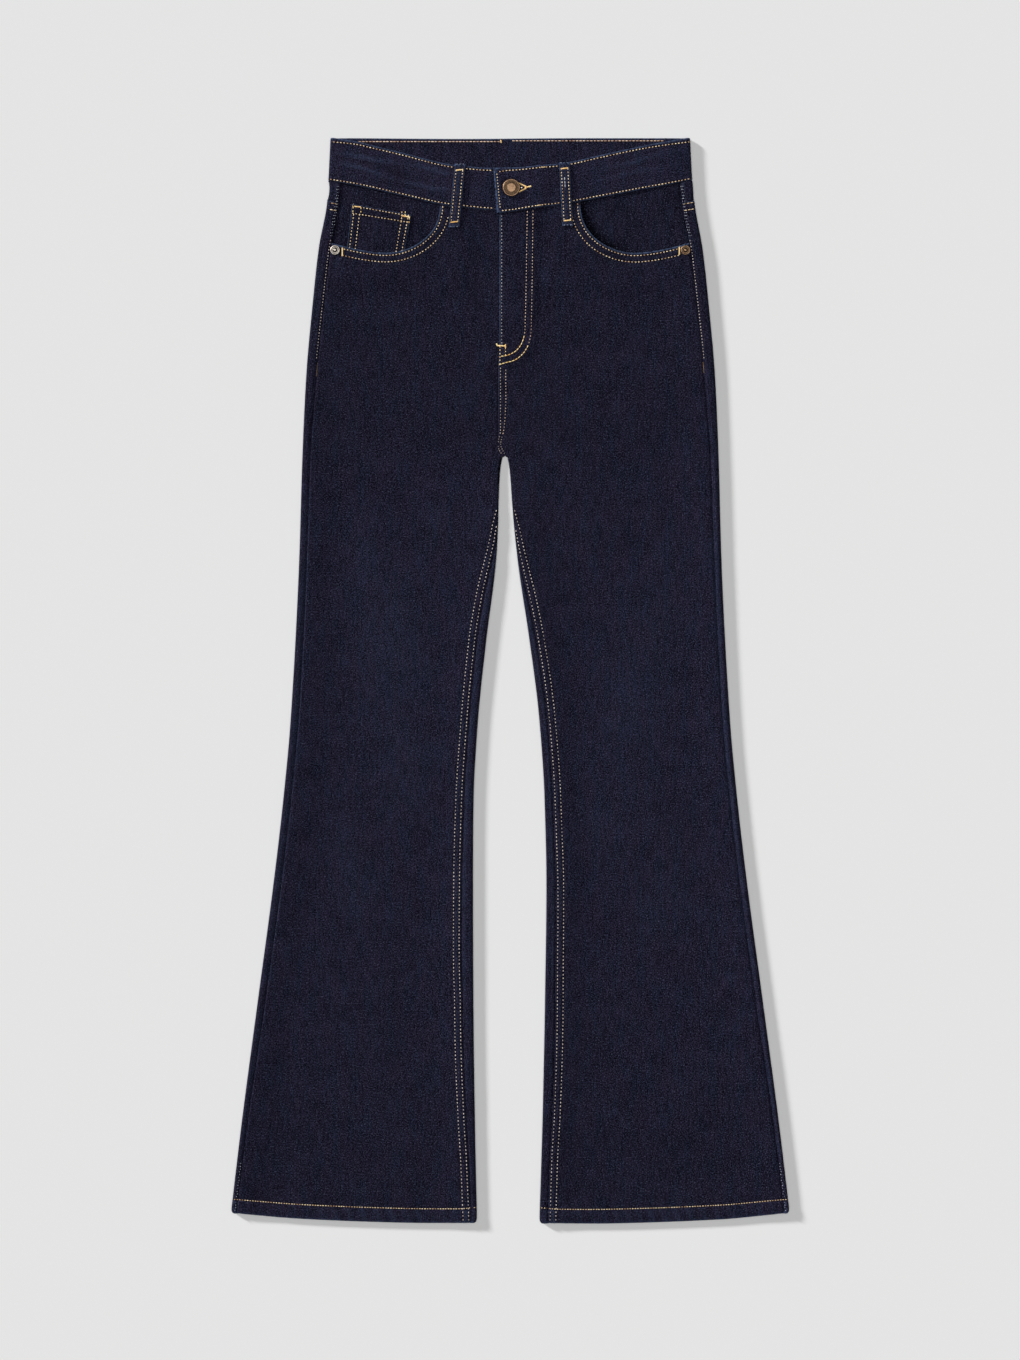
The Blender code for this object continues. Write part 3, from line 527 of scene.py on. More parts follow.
def makeDenim(name, lighter=0.0, grainy=1.0):
    # rinsed 3/1 twill denim, ring spun: near black indigo, grainy, with pale flecks of weft, no gloss
    made, tree, shader = newFinish(name, {"Roughness": 0.9, "Specular IOR Level": 0.03,
                                          "Sheen Weight": 0.01, "Sheen Roughness": 0.5})
    deep, mid, bluer, pale, worn = [linear(denimLook[key])
                                    for key in ("deep", "mid", "bluer", "fleck", "worn")]
    uv = addNode(tree, "UVMap", uv_map="weave")

    def spread(key, low, high, detail=2.0):      # a noise of a size in mm, stretched to 0..1
        across, upward = denimLook[key]
        at = addNode(tree, "Mapping", {"Vector": uv, "Scale": (1 / (across * mm), 1 / (upward * mm), 1)})
        noise = addNode(tree, "TexNoise", {"Vector": at, "Scale": 1.0, "Detail": detail, "Roughness": 0.6})
        return addNode(tree, "MapRange", {"Value": noise, "From Min": low, "From Max": high})

    turn = math.radians(denimLook["twillTurn"] - 90)
    twillAt = addNode(tree, "Mapping", {"Vector": uv, "Rotation": (0, 0, turn)})
    twill = addNode(tree, "TexWave", {"Vector": twillAt, "Scale": waveScale / (denimLook["twill"] * mm),
                                      "Distortion": 0.9, "Detail": 1.0, "Detail Scale": 2.0}).outputs["Fac"]
    slub = spread("slub", 0.33, 0.67)
    shade = addNode(tree, "Math", {0: spread("grain", 0.37, 0.63), 1: 0.8 * grainy,
                                   2: lighter + 0.2 - 0.4 * grainy}, operation="MULTIPLY_ADD")
    for part, share in ((slub, 0.36), (spread("cloud", 0.33, 0.67), 0.16), (twill, 0.06)):
        shade = addNode(tree, "Math", {0: part, 1: share, 2: shade}, operation="MULTIPLY_ADD")
    # the attribute: above 0 it mixes in the rubbed pale colour, below 0 it darkens the dye as painted shade
    wearAndShade = addNode(tree, "Attribute", attribute_name="wearAndShade").outputs["Fac"]
    kept = addNode(tree, "MapRange", {"Value": wearAndShade, "From Min": -1.0, "From Max": 0.0})
    shade = addNode(tree, "Math", {0: shade, 1: kept}, operation="MULTIPLY")
    bright = addNode(tree, "Mix", {0: spread("hue", 0.35, 0.65), 6: mid, 7: bluer}, data_type="RGBA")
    indigo = addNode(tree, "Mix", {0: shade, 6: deep, 7: bright.outputs[2]}, data_type="RGBA")
    flecked = addNode(tree, "Mix", {0: spread("fleckSize", 0.59, 0.84, 1.0), 6: indigo.outputs[2],
                                    7: pale}, data_type="RGBA")
    rubbed = addNode(tree, "Math", {0: spread("patch", 0.40, 0.62), 1: 0.85, 2: 0.1},
                     operation="MULTIPLY_ADD")
    faded = addNode(tree, "Math", {0: wearAndShade, 1: rubbed}, operation="MULTIPLY")
    colour = addNode(tree, "Mix", {0: faded, 6: flecked.outputs[2], 7: worn}, data_type="RGBA")
    raised = addNode(tree, "Math", {0: twill, 1: slub}, operation="ADD")
    bump = addNode(tree, "Bump", {"Height": raised, "Strength": 0.6, "Distance": denimLook["relief"] * mm})
    feed(tree, shader, {"Base Color": colour.outputs[2], "Normal": bump})
    return made


threads = {                  # each thread's light and dark colour
    "topstitch": ("#ffe6bc", "#ac8662"),
    "barTack": ("#ffe6aa", "#efba68"),
    "dusty": ("#e0c2ae", "#86706a"),         # the fly's upright rows
    "fine": ("#d8c8be", "#857a76"),          # the side seams and the inseams
    "pale": ("#bcc0cc", "#454b62"),          # frayed ends
    "rosy": ("#efcfb4", "#a98068"),          # inside the waistband
    "indigo": ("#3c4560", "#22283c"),        # the zip's tape
}
threadTurns = 0.6            # the threads' twist


def makeThread(name, light, dark):
    # corespun polyester thread, twisted: a soft sheen, and turns that catch the light
    made, tree, shader = newFinish(name, {"Roughness": 0.6, "Sheen Weight": 0.1})
    place = addNode(tree, "TexCoord").outputs["Object"]
    turns = addNode(tree, "TexWave", {"Vector": place, "Scale": waveScale / (threadTurns * mm),
                                      "Distortion": 1.5}, bands_direction="DIAGONAL")
    length = addNode(tree, "TexNoise", {"Vector": place, "Scale": 1 / (6.0 * mm), "Detail": 3.0})
    uneven = addNode(tree, "MapRange", {"Value": length, "From Min": 0.38, "From Max": 0.64})
    colour = addNode(tree, "Mix", {0: uneven, 6: linear(light), 7: linear(dark)}, data_type="RGBA")
    bump = addNode(tree, "Bump", {"Height": turns.outputs["Fac"], "Strength": 0.5, "Distance": 0.12 * mm})
    feed(tree, shader, {"Base Color": colour.outputs[2], "Normal": bump})
    return made


metals = {                   # bright, dull and in the recesses
    "antiqueBrass": ("#a6866a", "#705842", "#1e1712"),
    "agedNickel": ("#f2eadf", "#978b7e", "#231e1d"),
}


def makeMetal(name, bright, dull, recess):
    # stamped brass, antiqued or nickelled: dark in its recesses, rubbed bright on what stands up
    made, tree, shader = newFinish(name, {"Roughness": 0.42, "Metallic": 1.0})
    place = addNode(tree, "TexCoord").outputs["Object"]
    stain = addNode(tree, "TexNoise", {"Vector": place, "Scale": 1 / (1.6 * mm), "Detail": 5.0,
                                       "Roughness": 0.65})
    grain = addNode(tree, "TexNoise", {"Vector": place, "Scale": 1 / (0.35 * mm), "Detail": 2.0})
    # on metal the same attribute holds only rubbing, 1, and the patina of the recesses, 0
    rubbed = addNode(tree, "Attribute", attribute_name="wearAndShade").outputs["Fac"]
    stained = addNode(tree, "MapRange", {"Value": stain, "From Min": 0.3, "From Max": 0.7})
    body = addNode(tree, "Mix", {0: stained, 6: linear(dull), 7: linear(bright)}, data_type="RGBA")
    colour = addNode(tree, "Mix", {0: rubbed, 6: linear(recess), 7: body.outputs[2]}, data_type="RGBA")
    rough = addNode(tree, "MapRange", {"Value": grain, "To Min": 0.32, "To Max": 0.56})
    bump = addNode(tree, "Bump", {"Height": grain, "Strength": 0.35, "Distance": 0.08 * mm})
    feed(tree, shader, {"Base Color": colour.outputs[2], "Roughness": rough, "Normal": bump})
    return made


denim = makeDenim("rinsedDenim", -0.05, 1.4)
bandDenim = makeDenim("waistbandDenim", 0.05, 1.9)
pocketDenim = makeDenim("pocketDenim", -0.13)
thread = {key: makeThread(key + "Thread", *colours) for key, colours in threads.items()}
metal = {key: makeMetal(key, *colours) for key, colours in metals.items()}
holeShade = newFinish("holeShade", {                         # painted shade: the dark of a hole in dark cloth
    "Roughness": 1.0, "Base Color": linear("#08080f"), "Specular IOR Level": 0.0})[0]
print("finishes made")


# Front panels
frontPanel = {
    "outerColumns": [0, 0.35, 0.8, 1.4, 2.2, 3.2, 4.4, 5.8, 7.5, 9.5, 12.0],    # from the side seam
    "mouthColumns": {-1: 38, 1: 34}, "bandColumns": {-1: 6, 1: 10},
    "innerColumns": [38, 35.5, 33, 30.5, 28.3, 26.2, 24.2, 22.3, 20.5, 18.8, 17.2, 15.7, 14.3, 13, 11.8,
                     10.6, 9.4, 8.2, 7.0, 5.9, 4.8, 3.8, 2.9, 2.1, 1.4, 0.8, 0.35, 0],
    "shaping": [0, 0.012, 0.03, 0.055, 0.085, 0.12] + [0.16 + 0.04 * i for i in range(21)],
    "shapedEnd": 141.0,
    "crotchRows": [317.2, 318.6, 320.7, 323.2, 326.2, 329.4],
    "hemRows": [-4.5, -3.0, -2.0, -1.2, -0.5, 0.3, 1.3, 2.5, 4, 5.6, 7.2, 8.8, 10.2, 11.4, 12.4, 13.1,
                13.6, 13.85, 14.0],
    "rowStep": 3.1,
    "riseInner": [(-9.8, 227.5), (-9.8, 262), (-9.8, 291), (-11.3, 299), (-12.3, 306), (-11.0, 311),
                  (-8.6, 314.5)],
    "riseOuter": [(-4.5, 229.5), (-4.4, 262), (-5.1, 276), (-6.6, 291), (-8.9, 300), (-9.6, 305.5),
                  (-7.4, 311), (-5.6, 315)],
    "inseamRows": [2.6, 8.3], "rowsMeet": 1.7, "hemRow": 14.3,
    "flat": (0.262, 1.02),
}


def rowDrops():              # rows down a leg, closer at the crotch and the hem
    step = frontPanel["rowStep"]
    return np.concatenate([np.arange(frontPanel["shapedEnd"] + step, 300, step),
                           np.arange(300.5, jeans["crotch"], 2.0), [jeans["crotch"]],
                           frontPanel["crotchRows"], np.arange(332.5, hemTop - 6, step),
                           hemTop + np.array(frontPanel["hemRows"])])


def stitchesOfFront(side):   # rows of stitches on a front panel, as lines
    edge = evenly(mouthLine(side), 120)
    kept = np.abs(edge[:, 0]) < mouth["stitchesEnd"]
    lines = {}
    for key, distance in zip(("mouthInner", "mouthOuter"), mouth["rows"]):
        line = aside(edge, side * distance)[kept]
        lines[key] = line[line[:, 1] > dip(line[:, 0], "bottom") + 0.8]
    if side > 0:
        lines["flyInner"], lines["flyOuter"] = curved(fly["inner"]), curved(fly["outer"])
        drops = np.arange(75.5, fly["end"], 2.0)
        lines["flyEdge"] = lineOf(smooth(centres, "front", drops) + fly["edgeRow"], drops)
        for key in ("riseInner", "riseOuter"):
            lines[key] = curved(frontPanel[key])
    return lines


def frontGrid(side):         # x, drop, distance from the side seam and from the inner seam
    outer, inner = np.array(frontPanel["outerColumns"]), np.array(frontPanel["innerColumns"])
    edge = mouthLine(side)
    run = arcLength(edge)
    mouthRuns = np.linspace(outer[-1], run[-1], frontPanel["mouthColumns"][side] + 1)[1:]
    atMouth = np.concatenate([outer, mouthRuns])
    topX, topDrop = np.interp(atMouth, run, edge[:, 0]), np.interp(atMouth, run, edge[:, 1])

    def centreX(drop, inward):
        opened = mix(fly["lap"], -gap / 2, ramp(drop, fly["end"], fly["lapEnd"]))
        lap = opened if side < 0 else -gap / 2
        return smooth(centres, "front", drop) - side * lap + side * inward

    def bandDrop(x):
        return dip(x, "bottom") + gap

    def outwards(length, start, end):            # the rest of a row, after the columns by the seam
        return np.linspace(start, end, length - len(outer) + 1)[1:]

    bandX = np.linspace(side * mouth["inner"], centreX(72.0, inner[0]),
                        frontPanel["bandColumns"][side] + 1)[1:]
    topX, topDrop = np.append(topX, bandX), np.append(topDrop, bandDrop(bandX))
    wide = len(topX)
    columns = wide + len(inner) - 1
    shaping, low = np.array(frontPanel["shaping"])[:, None], frontPanel["shapedEnd"]
    seam = side * (abs(seamX(side, low)) - gap / 2)
    lowX = np.concatenate([seam - side * outer,
                           outwards(wide, seam - side * outer[-1], centreX(low, inner[0]))])
    x = np.zeros((len(shaping), columns))
    drop = np.zeros((len(shaping), columns))
    x[:, :wide] = mix(topX, lowX, shaping)
    drop[:, :wide] = mix(topDrop, low, shaping)
    x[:, 0] = side * (np.abs(seamX(side, drop[:, 0])) - gap / 2)
    for i in range(1, len(outer)):               # the columns by the seam follow it
        x[:, i] = mix(x[:, i], x[:, 0] - side * outer[i], 1 - i / len(outer))
    for _ in range(3):
        x[:, wide:] = centreX(drop[:, wide:], inner[1:])
        drop[:, wide:] = mix(bandDrop(x[:, wide:]), low, shaping)
    rest = rowDrops()[:, None]
    share = np.concatenate([outer / 200, outwards(wide, outer[-1] / 200, 0.85),
                            np.linspace(0.85, 1.0, len(inner))[1:]])
    restDrop = slanted(side, rest, share)
    restSeam = side * (np.abs(seamX(side, restDrop)) - gap / 2)
    isLeg = restDrop >= jeans["crotch"] - 0.01
    radius = smooth(between, "fold", restDrop)
    inwards = np.append(np.full(wide - 1, inner[0]), inner)
    legRun = inseam(side, restDrop) + gap / 2 + inwards
    legInward, legHeight = rolled(legRun, radius)
    legX = innerEdge(side, restDrop) + side * legInward
    restX = np.where(isLeg, legX, centreX(restDrop, inwards))
    start = restSeam - side * np.append(outer, np.full(columns - len(outer), outer[-1]))
    t = np.append(np.zeros(len(outer)), outwards(wide, 0, 1))
    restX[:, :wide] = mix(start[:, :wide], restX[:, :wide], t)
    onRoll = np.zeros(restX.shape, bool)
    onRoll[:, wide:] = ((legInward < radius) | (legRun < 0))[:, wide:] & isLeg[:, wide:]
    restInner = np.abs(restX - np.where(isLeg, innerEdge(side, restDrop), centreX(restDrop, 0.0)))
    restInner[:, wide:] = np.where(isLeg[:, wide:], inner[1:], restInner[:, wide:])
    restInner[:, :wide] = np.maximum(restInner[:, :wide], np.where(isLeg, inner[0], 0)[:, :wide])
    return {
        "x": np.concatenate([x, restX]), "drop": np.concatenate([drop, restDrop]),
        "fromOuter": np.concatenate([np.abs(x - x[:, [0]]), np.abs(restX - restSeam)]),
        "fromInner": np.concatenate([np.abs(x - centreX(drop, 0.0)), restInner]),
        "fromHem": np.concatenate([np.full(x.shape, 999.0),
                                   np.broadcast_to(jeans["length"] - rest, restX.shape)]),
        "roll": np.concatenate([np.zeros(x.shape, bool), onRoll]),
        "rollHeight": np.concatenate([np.zeros(x.shape), np.broadcast_to(legHeight, restX.shape)]),
    }


def makeFront(side):
    grid = frontGrid(side)
    x, drop, roll = grid["x"], grid["drop"], grid["roll"]
    fromOuter, fromInner, fromHem = grid["fromOuter"], grid["fromInner"], grid["fromHem"]
    height = np.where(roll, grid["rollHeight"], frontHeight(side, x, drop))
    seed = 1.0 + side
    legs = drop > jeans["crotch"]
    fromMouth, _ = distanceTo(mouthLine(side)[::2], x, drop)
    fromMouth = np.where(drop < frontPanel["shapedEnd"] + 20, fromMouth, far)
    relief = bent(x, drop) * ease(fromOuter, 6, 40) * ease(fromInner, 8, 45)
    relief *= ease(fromMouth, 8, 40)
    relief += tuck(fromOuter) + rowSink(fromOuter + 3, drop, seed, 0.8)
    for key, line in stitchesOfFront(side).items():
        distance, run = distanceTo(line[::3], x, drop)
        relief += rowSink(distance, run, seed + len(key))
    if side > 0:             # the mouth gapes, and the centre seam is lapped below the fly
        relief += mouth["gape"][1] * bell(fromMouth, 8) * ease(-x, -122, -92) * ease(drop, 66, 78)
        lapped = ease(drop, 224, 236) * (1 - ease(drop, 300, 315))
        relief += 0.5 * lapped * bell(fromInner, 9)
    else:
        relief += mouth["gape"][-1] * bell(fromMouth, 9) * ease(-np.abs(x), -118, -84)
        relief += np.where(legs | (drop < 218), 0, tuck(fromInner))
    for distance in frontPanel["inseamRows"]:
        relief += np.where(legs, rowSink(np.abs(fromInner - distance), drop, seed + distance, 0.7), 0)
    relief += np.where(legs, tuck(fromInner) + 0.3 * bell(fromInner - 5, 2.6), 0)
    relief += rowSink(np.abs(fromHem - frontPanel["hemRow"]), x, seed + 4, 0.6)
    relief += hemShape(fromHem, x, seed)
    height = height + np.where(roll, 0.4, 1.0) * relief
    height = np.maximum(height, np.where(roll, 0, denimWall(drop) + seatLift(x, drop) + 0.6))
    corner = jeans["cornerIn"] * np.exp(-(fromHem / jeans["cornerSize"]))
    corner = side * corner * (np.exp(-fromOuter / 30) - np.exp(-fromInner / 30))
    flyEdge = np.where((side > 0) & (drop < 330) & ~legs, fromInner, far)
    rim = np.minimum(np.minimum(fromMouth, fromHem), flyEdge)
    fromGap = side * (x - innerEdge(side, drop))
    fromBand = drop - dip(x, "bottom") - (lapLow(x) if side > 0 else 0)
    wearAndShade = mark("mouthLip", fromMouth) + mark("hemEdge", fromHem)
    wearAndShade += toneAndHemStreaks(x, drop, fromHem)
    wearAndShade += mark("flyEdge", flyEdge) * ease(-drop, -345, -120)
    if side < 0:             # painted shade under the crotch
        wearAndShade += np.where(legs, mark("crotchShade", fromGap) * (1 - ease(drop, 339, 350)), 0)
    # the soft ridges are rubbed paler and their troughs are darkened as painted shade
    wearAndShade += mark("frontSeam", fromOuter) + 0.07 * bent(x, drop)
    # painted shade beside the loops and under the waistband's edge
    wearAndShade -= paintedLoopShade(x, drop) - mark("shadeUnderBand", fromBand - 1.5)
    # painted shade beside the fly's lapped edge
    wearAndShade += np.where(legs, 0, mark("shadeBesideFly", fromInner + (2.0 - 8 * (side < 0))))
    wearAndShade += np.where(legs, mark("inseam", fromInner - 5) * ease(drop, 560, 1000), 0)
    return shell("front" + sideNames[side], x, drop, height, denimWall(drop), side, denim, rim, wearAndShade,
                 inward=corner)


for side, word in sideNames.items():
    lay(makeFront(side), "front_" + word.lower())
print("front panels made")

# Back panels and yokes
backPanel = {
    "seamShares": [1, 0.97, 0.93, 0.87, 0.8, 0.72, 0.64, 0.56, 0.48, 0.41, 0.34, 0.27, 0.2, 0.13, 0.06, 0],
    "underTurns": [-0.15, -0.3, -0.45, -0.6, -0.75, -0.9, -1.0],       # quarters of the fold
    "flatColumns": 26,
    "innerNear": 14.0,
    "innerShares": [0.0, 0.08, 0.15, 0.21, 0.27, 0.32, 0.37, 0.42, 0.47, 0.52, 0.57, 0.62, 0.67, 0.72,
                    0.77, 0.82, 0.87, 0.91, 0.95, 0.98, 1.0],
    "shaping": [0, 0.006, 0.015, 0.03, 0.05, 0.08, 0.12, 0.16] + [0.2 + 0.05 * i for i in range(17)],
    "topRows": [2.4, 8.9],   # rows of stitches below the yoke seam
    "seatRows": [2.2, 8.4],  # and beside the seat seam
    "recess": {-1: 1.6, 1: -0.4},              # the yoke is drawn in at the side, between thick seams
    "fuller": {-1: (-0.4, 70, 100), 1: (0.7, 200, 480)},           # the hip's side edge, between drops
    "sideRow": 1.4, "sideRowEnd": 222.0,
    "flat": (0.285, 1.03),
}
yoke = {"side": 61.0, "back": 101.0, "rows": 22, "flat": (0.21, 0.062)}


def yokeDrop(x):
    return mix(yoke["back"], yoke["side"], np.minimum(np.abs(x) / 183.4, 1.0))


def backPoints(side, dropOf, isLeg):
    # one row of a back panel or yoke, from the side seam round the fold and under to the middle
    shares, turns = np.array(backPanel["seamShares"]), np.array(backPanel["underTurns"])
    inner, near = np.array(backPanel["innerShares"]), backPanel["innerNear"]
    flatCount = backPanel["flatColumns"]
    flatRuns = np.array([jeans[key] for key in ("liftFrom", "liftMiddle", "liftTo")])
    onFront = len(shares)
    onFold = onFront + len(turns)
    outerCount = onFold + len(flatRuns)
    count = outerCount + flatCount + len(inner)
    column = np.arange(count)
    acrossShare = np.clip((column - outerCount) / (count - outerCount - 1), 0, 1)
    fold, under = slice(onFront, onFold), slice(onFold, outerCount)
    flat, tail = slice(outerCount, outerCount + flatCount), slice(outerCount + flatCount, count)
    x = np.full(count, side * 120.0)
    x[:outerCount] = side * 181.0
    for _ in range(4):       # x and drop depend on each other
        drop = dropOf(x, column < onFront, acrossShare)
        radius = smooth(sides, "fold", drop)
        quarter = np.pi * radius / 2
        seamRun = along(smooth(sides, "seamIn", drop), radius) - gap / 2
        s = np.zeros(count)
        s[:onFront] = seamRun[:onFront] * shares
        s[fold] = quarter[fold] * turns
        s[under] = -(flatRuns - radius[under] + quarter[under])
        inward, height = rolled(s, radius)
        x[:outerCount] = (side * (outerEdge(drop) - inward))[:outerCount]
        first = side * (outerEdge(drop) - jeans["liftTo"])
        edgeX = innerEdge(side, drop) if isLeg else smooth(centres, "back", drop) + side * gap / 2
        t = (column - outerCount + 1) / (flatCount + 1)
        x[flat] = mix(first, edgeX + side * near, t)[flat]
        if isLeg:
            innerRadius = smooth(between, "fold", drop)
            innerQuarter = np.pi * innerRadius / 2
            innerSeam = inseam(side, drop) - gap / 2
            innerRun = mix(-(near - innerRadius + innerQuarter)[tail], innerSeam[tail], inner)
            innerIn, innerHeight = rolled(innerRun, innerRadius[tail])
            x[tail] = innerEdge(side, drop[tail]) + side * innerIn
        else:
            x[tail] = edgeX[tail] + side * near * (1 - inner)
    low, high = seatLift(x, drop), frontHeight(side, x, drop, over=False)
    z = np.where(inward > radius, np.where(s > 0, high, low), height)
    z[outerCount:] = low[outerCount:]
    fromInner = np.full(count, far)
    if isLeg:
        beyond = innerIn > innerRadius[tail]
        z[tail] = np.where(beyond & (innerRun > 0), high[tail],
                           np.where(beyond & (innerRun < 0), low[tail], innerHeight))
        fromInner[tail] = innerSeam[tail] - innerRun
    else:
        fromInner[outerCount:] = np.abs(x - edgeX)[outerCount:]
    fromOuter = np.full(count, far)
    fromOuter[:outerCount] = (seamRun - s)[:outerCount]
    bulging = np.zeros(count)
    bulging[:onFold] = ease(fromOuter[:onFold], 2.0, 9.0)
    return x, drop, z, fromOuter, fromInner, bulging


def backRows(side, rows):    # from each row's drops, as a function, and whether it is on the leg
    return [np.stack(part) for part in zip(*(backPoints(side, *row) for row in rows))]


def makeBack(side):
    low, crotch = frontPanel["shapedEnd"], jeans["crotch"] - 0.01
    rows = [(lambda x, onFront, across, share=share: mix(yokeDrop(x) + gap / 2, low, share), False)
            for share in backPanel["shaping"]]
    rows += [(lambda x, onFront, across, at=at: slanted(side, at, across) + 0 * x, at >= crotch)
             for at in rowDrops()]
    x, drop, height, fromOuter, fromInner, bulging = backRows(side, rows)
    fromTop = np.where(drop < low + 10, drop - yokeDrop(x) - gap / 2, far)
    fromHem = np.full(x.shape, 999.0)
    fromHem[len(backPanel["shaping"]):] = (jeans["length"] - rowDrops())[:, None]
    seed = 3.0 + side
    onTop = (fromOuter < 9) | (fromInner < 5)
    isLeg = drop > jeans["crotch"]
    relief = np.where(onTop, tuck(np.minimum(fromOuter, far)), 0)
    ridge = 0.45 * bell(fromOuter - 3.6, 2.2)
    relief = relief + np.where(onTop, ridge + rowSink(np.abs(fromOuter - 1.4), drop, seed, 0.8), 0)
    relief += np.where(isLeg & onTop, tuck(fromInner), 0)
    relief += rowSink(np.abs(fromHem - frontPanel["hemRow"]), x, seed, 0.5) * np.where(onTop, 1, 0.3)
    relief += hemShape(fromHem, x, seed) * np.where(onTop, 1.0, 0.2)
    under = ~onTop & (np.abs(height - seatLift(x, drop)) < 0.01)
    seatOnly = under & (seatLift(x, drop) > 0.8)
    relief -= np.where(seatOnly, 0.35 * bell(fromInner, 1.2), 0)
    for distance in backPanel["topRows"]:
        relief += rowSink(np.abs(fromTop - distance), x, seed + distance, 0.5) * np.where(onTop, 1.0, 0.5)
    upwards = np.clip(height - 1.0, -1.0, 1.0)     # underneath, the seams go up into the cloth
    pressed = -np.minimum(relief, 0) * np.where(seatOnly, 1.0, 0.6)
    height = height + np.where(onTop, relief * upwards, pressed)
    height = height + np.where(under, 0.35 * bell(fromHem - frontPanel["hemRow"], 1.8), 0)
    corner = jeans["cornerIn"] * np.exp(-(fromHem / jeans["cornerSize"]))
    corner = side * corner * (1.0 * (fromOuter < 90) - (fromInner < 90))
    fuller, start, end = backPanel["fuller"][side]
    x = x + side * (fuller * (1 - ease(drop, start, end))) * bulging
    wearAndShade = mark("backHem", fromHem) + mark("yokeSeam", fromTop)
    wearAndShade += (0.1 + 0.16 * ease(drop, 850, 1020)) * bell(fromOuter - 2.2, 2.0)
    wearAndShade += toneAndHemStreaks(x, drop, fromHem)
    wearAndShade += np.where(isLeg, mark("backInseam", fromInner - 2.4), 0)
    return shell("back" + sideNames[side], x, drop, height, denimWall(drop), -side, denim,
                 np.minimum(fromHem, fromTop), wearAndShade, inward=corner)


def makeYoke(side):
    shares = np.linspace(0, 1, yoke["rows"])

    def dropOf(x, onFront, across, share):
        top = np.where(onFront, dip(np.clip(x, -182, 182), "bottom"), band["seam"])
        return mix(top + gap, yokeDrop(x) - gap / 2, share)

    rows = [(lambda x, onFront, across, share=share: dropOf(x, onFront, across, share), False)
            for share in shares]
    x, drop, height, fromOuter, _, bulging = backRows(side, rows)
    height = height + np.where(fromOuter < 9, tuck(fromOuter) + 0.3 * bell(fromOuter - 3.6, 2.2), 0)
    x = x - side * backPanel["recess"][side] * bulging * np.sin(np.pi * shares[:, None]) ** 0.5
    return shell("yoke" + sideNames[side], x, drop, height, jeans["denim"], -side, denim, None,
                 mark("yokeSide", fromOuter - 3.0))


for side, word in sideNames.items():
    node = word.lower()
    lay(makeBack(side), "back_" + node)
    lay(makeYoke(side), "yoke_" + node)
print("back panels and yokes made")

# Waistband
bandShape = {
    "turns": [1.0, 0.8, 0.6, 0.4, 0.2, 0.0, -0.2, -0.4, -0.6, -0.8, -1.0],
    "down": [0, 0.004, 0.012, 0.022, 0.036, 0.055, 0.08, 0.11] + [0.15 + 0.035 * i for i in range(21)] +
            [0.89, 0.93, 0.955, 0.972, 0.984, 0.993, 1.0],
    "lapEnd": [0.03, 0.022, 0.015, 0.009, 0.004, 0.0015, 0],
    "creases": [(0.28, 21.0, 1.0), (0.46, 33.0, -0.8), (0.62, 24.0, 0.9), (0.78, 27.0, -0.7)],
    "button": (1.1, 48.3), "drawnIn": 1.2,
    "flat": (0.775, 0.044),
}


def bandHeight(x):           # of the outer face in front, where its ends lap
    lapped = (1 - ease(x, *band["step"])) * (x > band["overTop"] - 0.3)
    return 2 * float(smooth(sides, "fold", 0.0)) + (band["wall"] + gap) * lapped


def backTop(x):              # the back's top edge rises a little to the sides
    return -0.5 - 0.75 * ease(np.abs(x + 50.0), 0.0, 120.0)


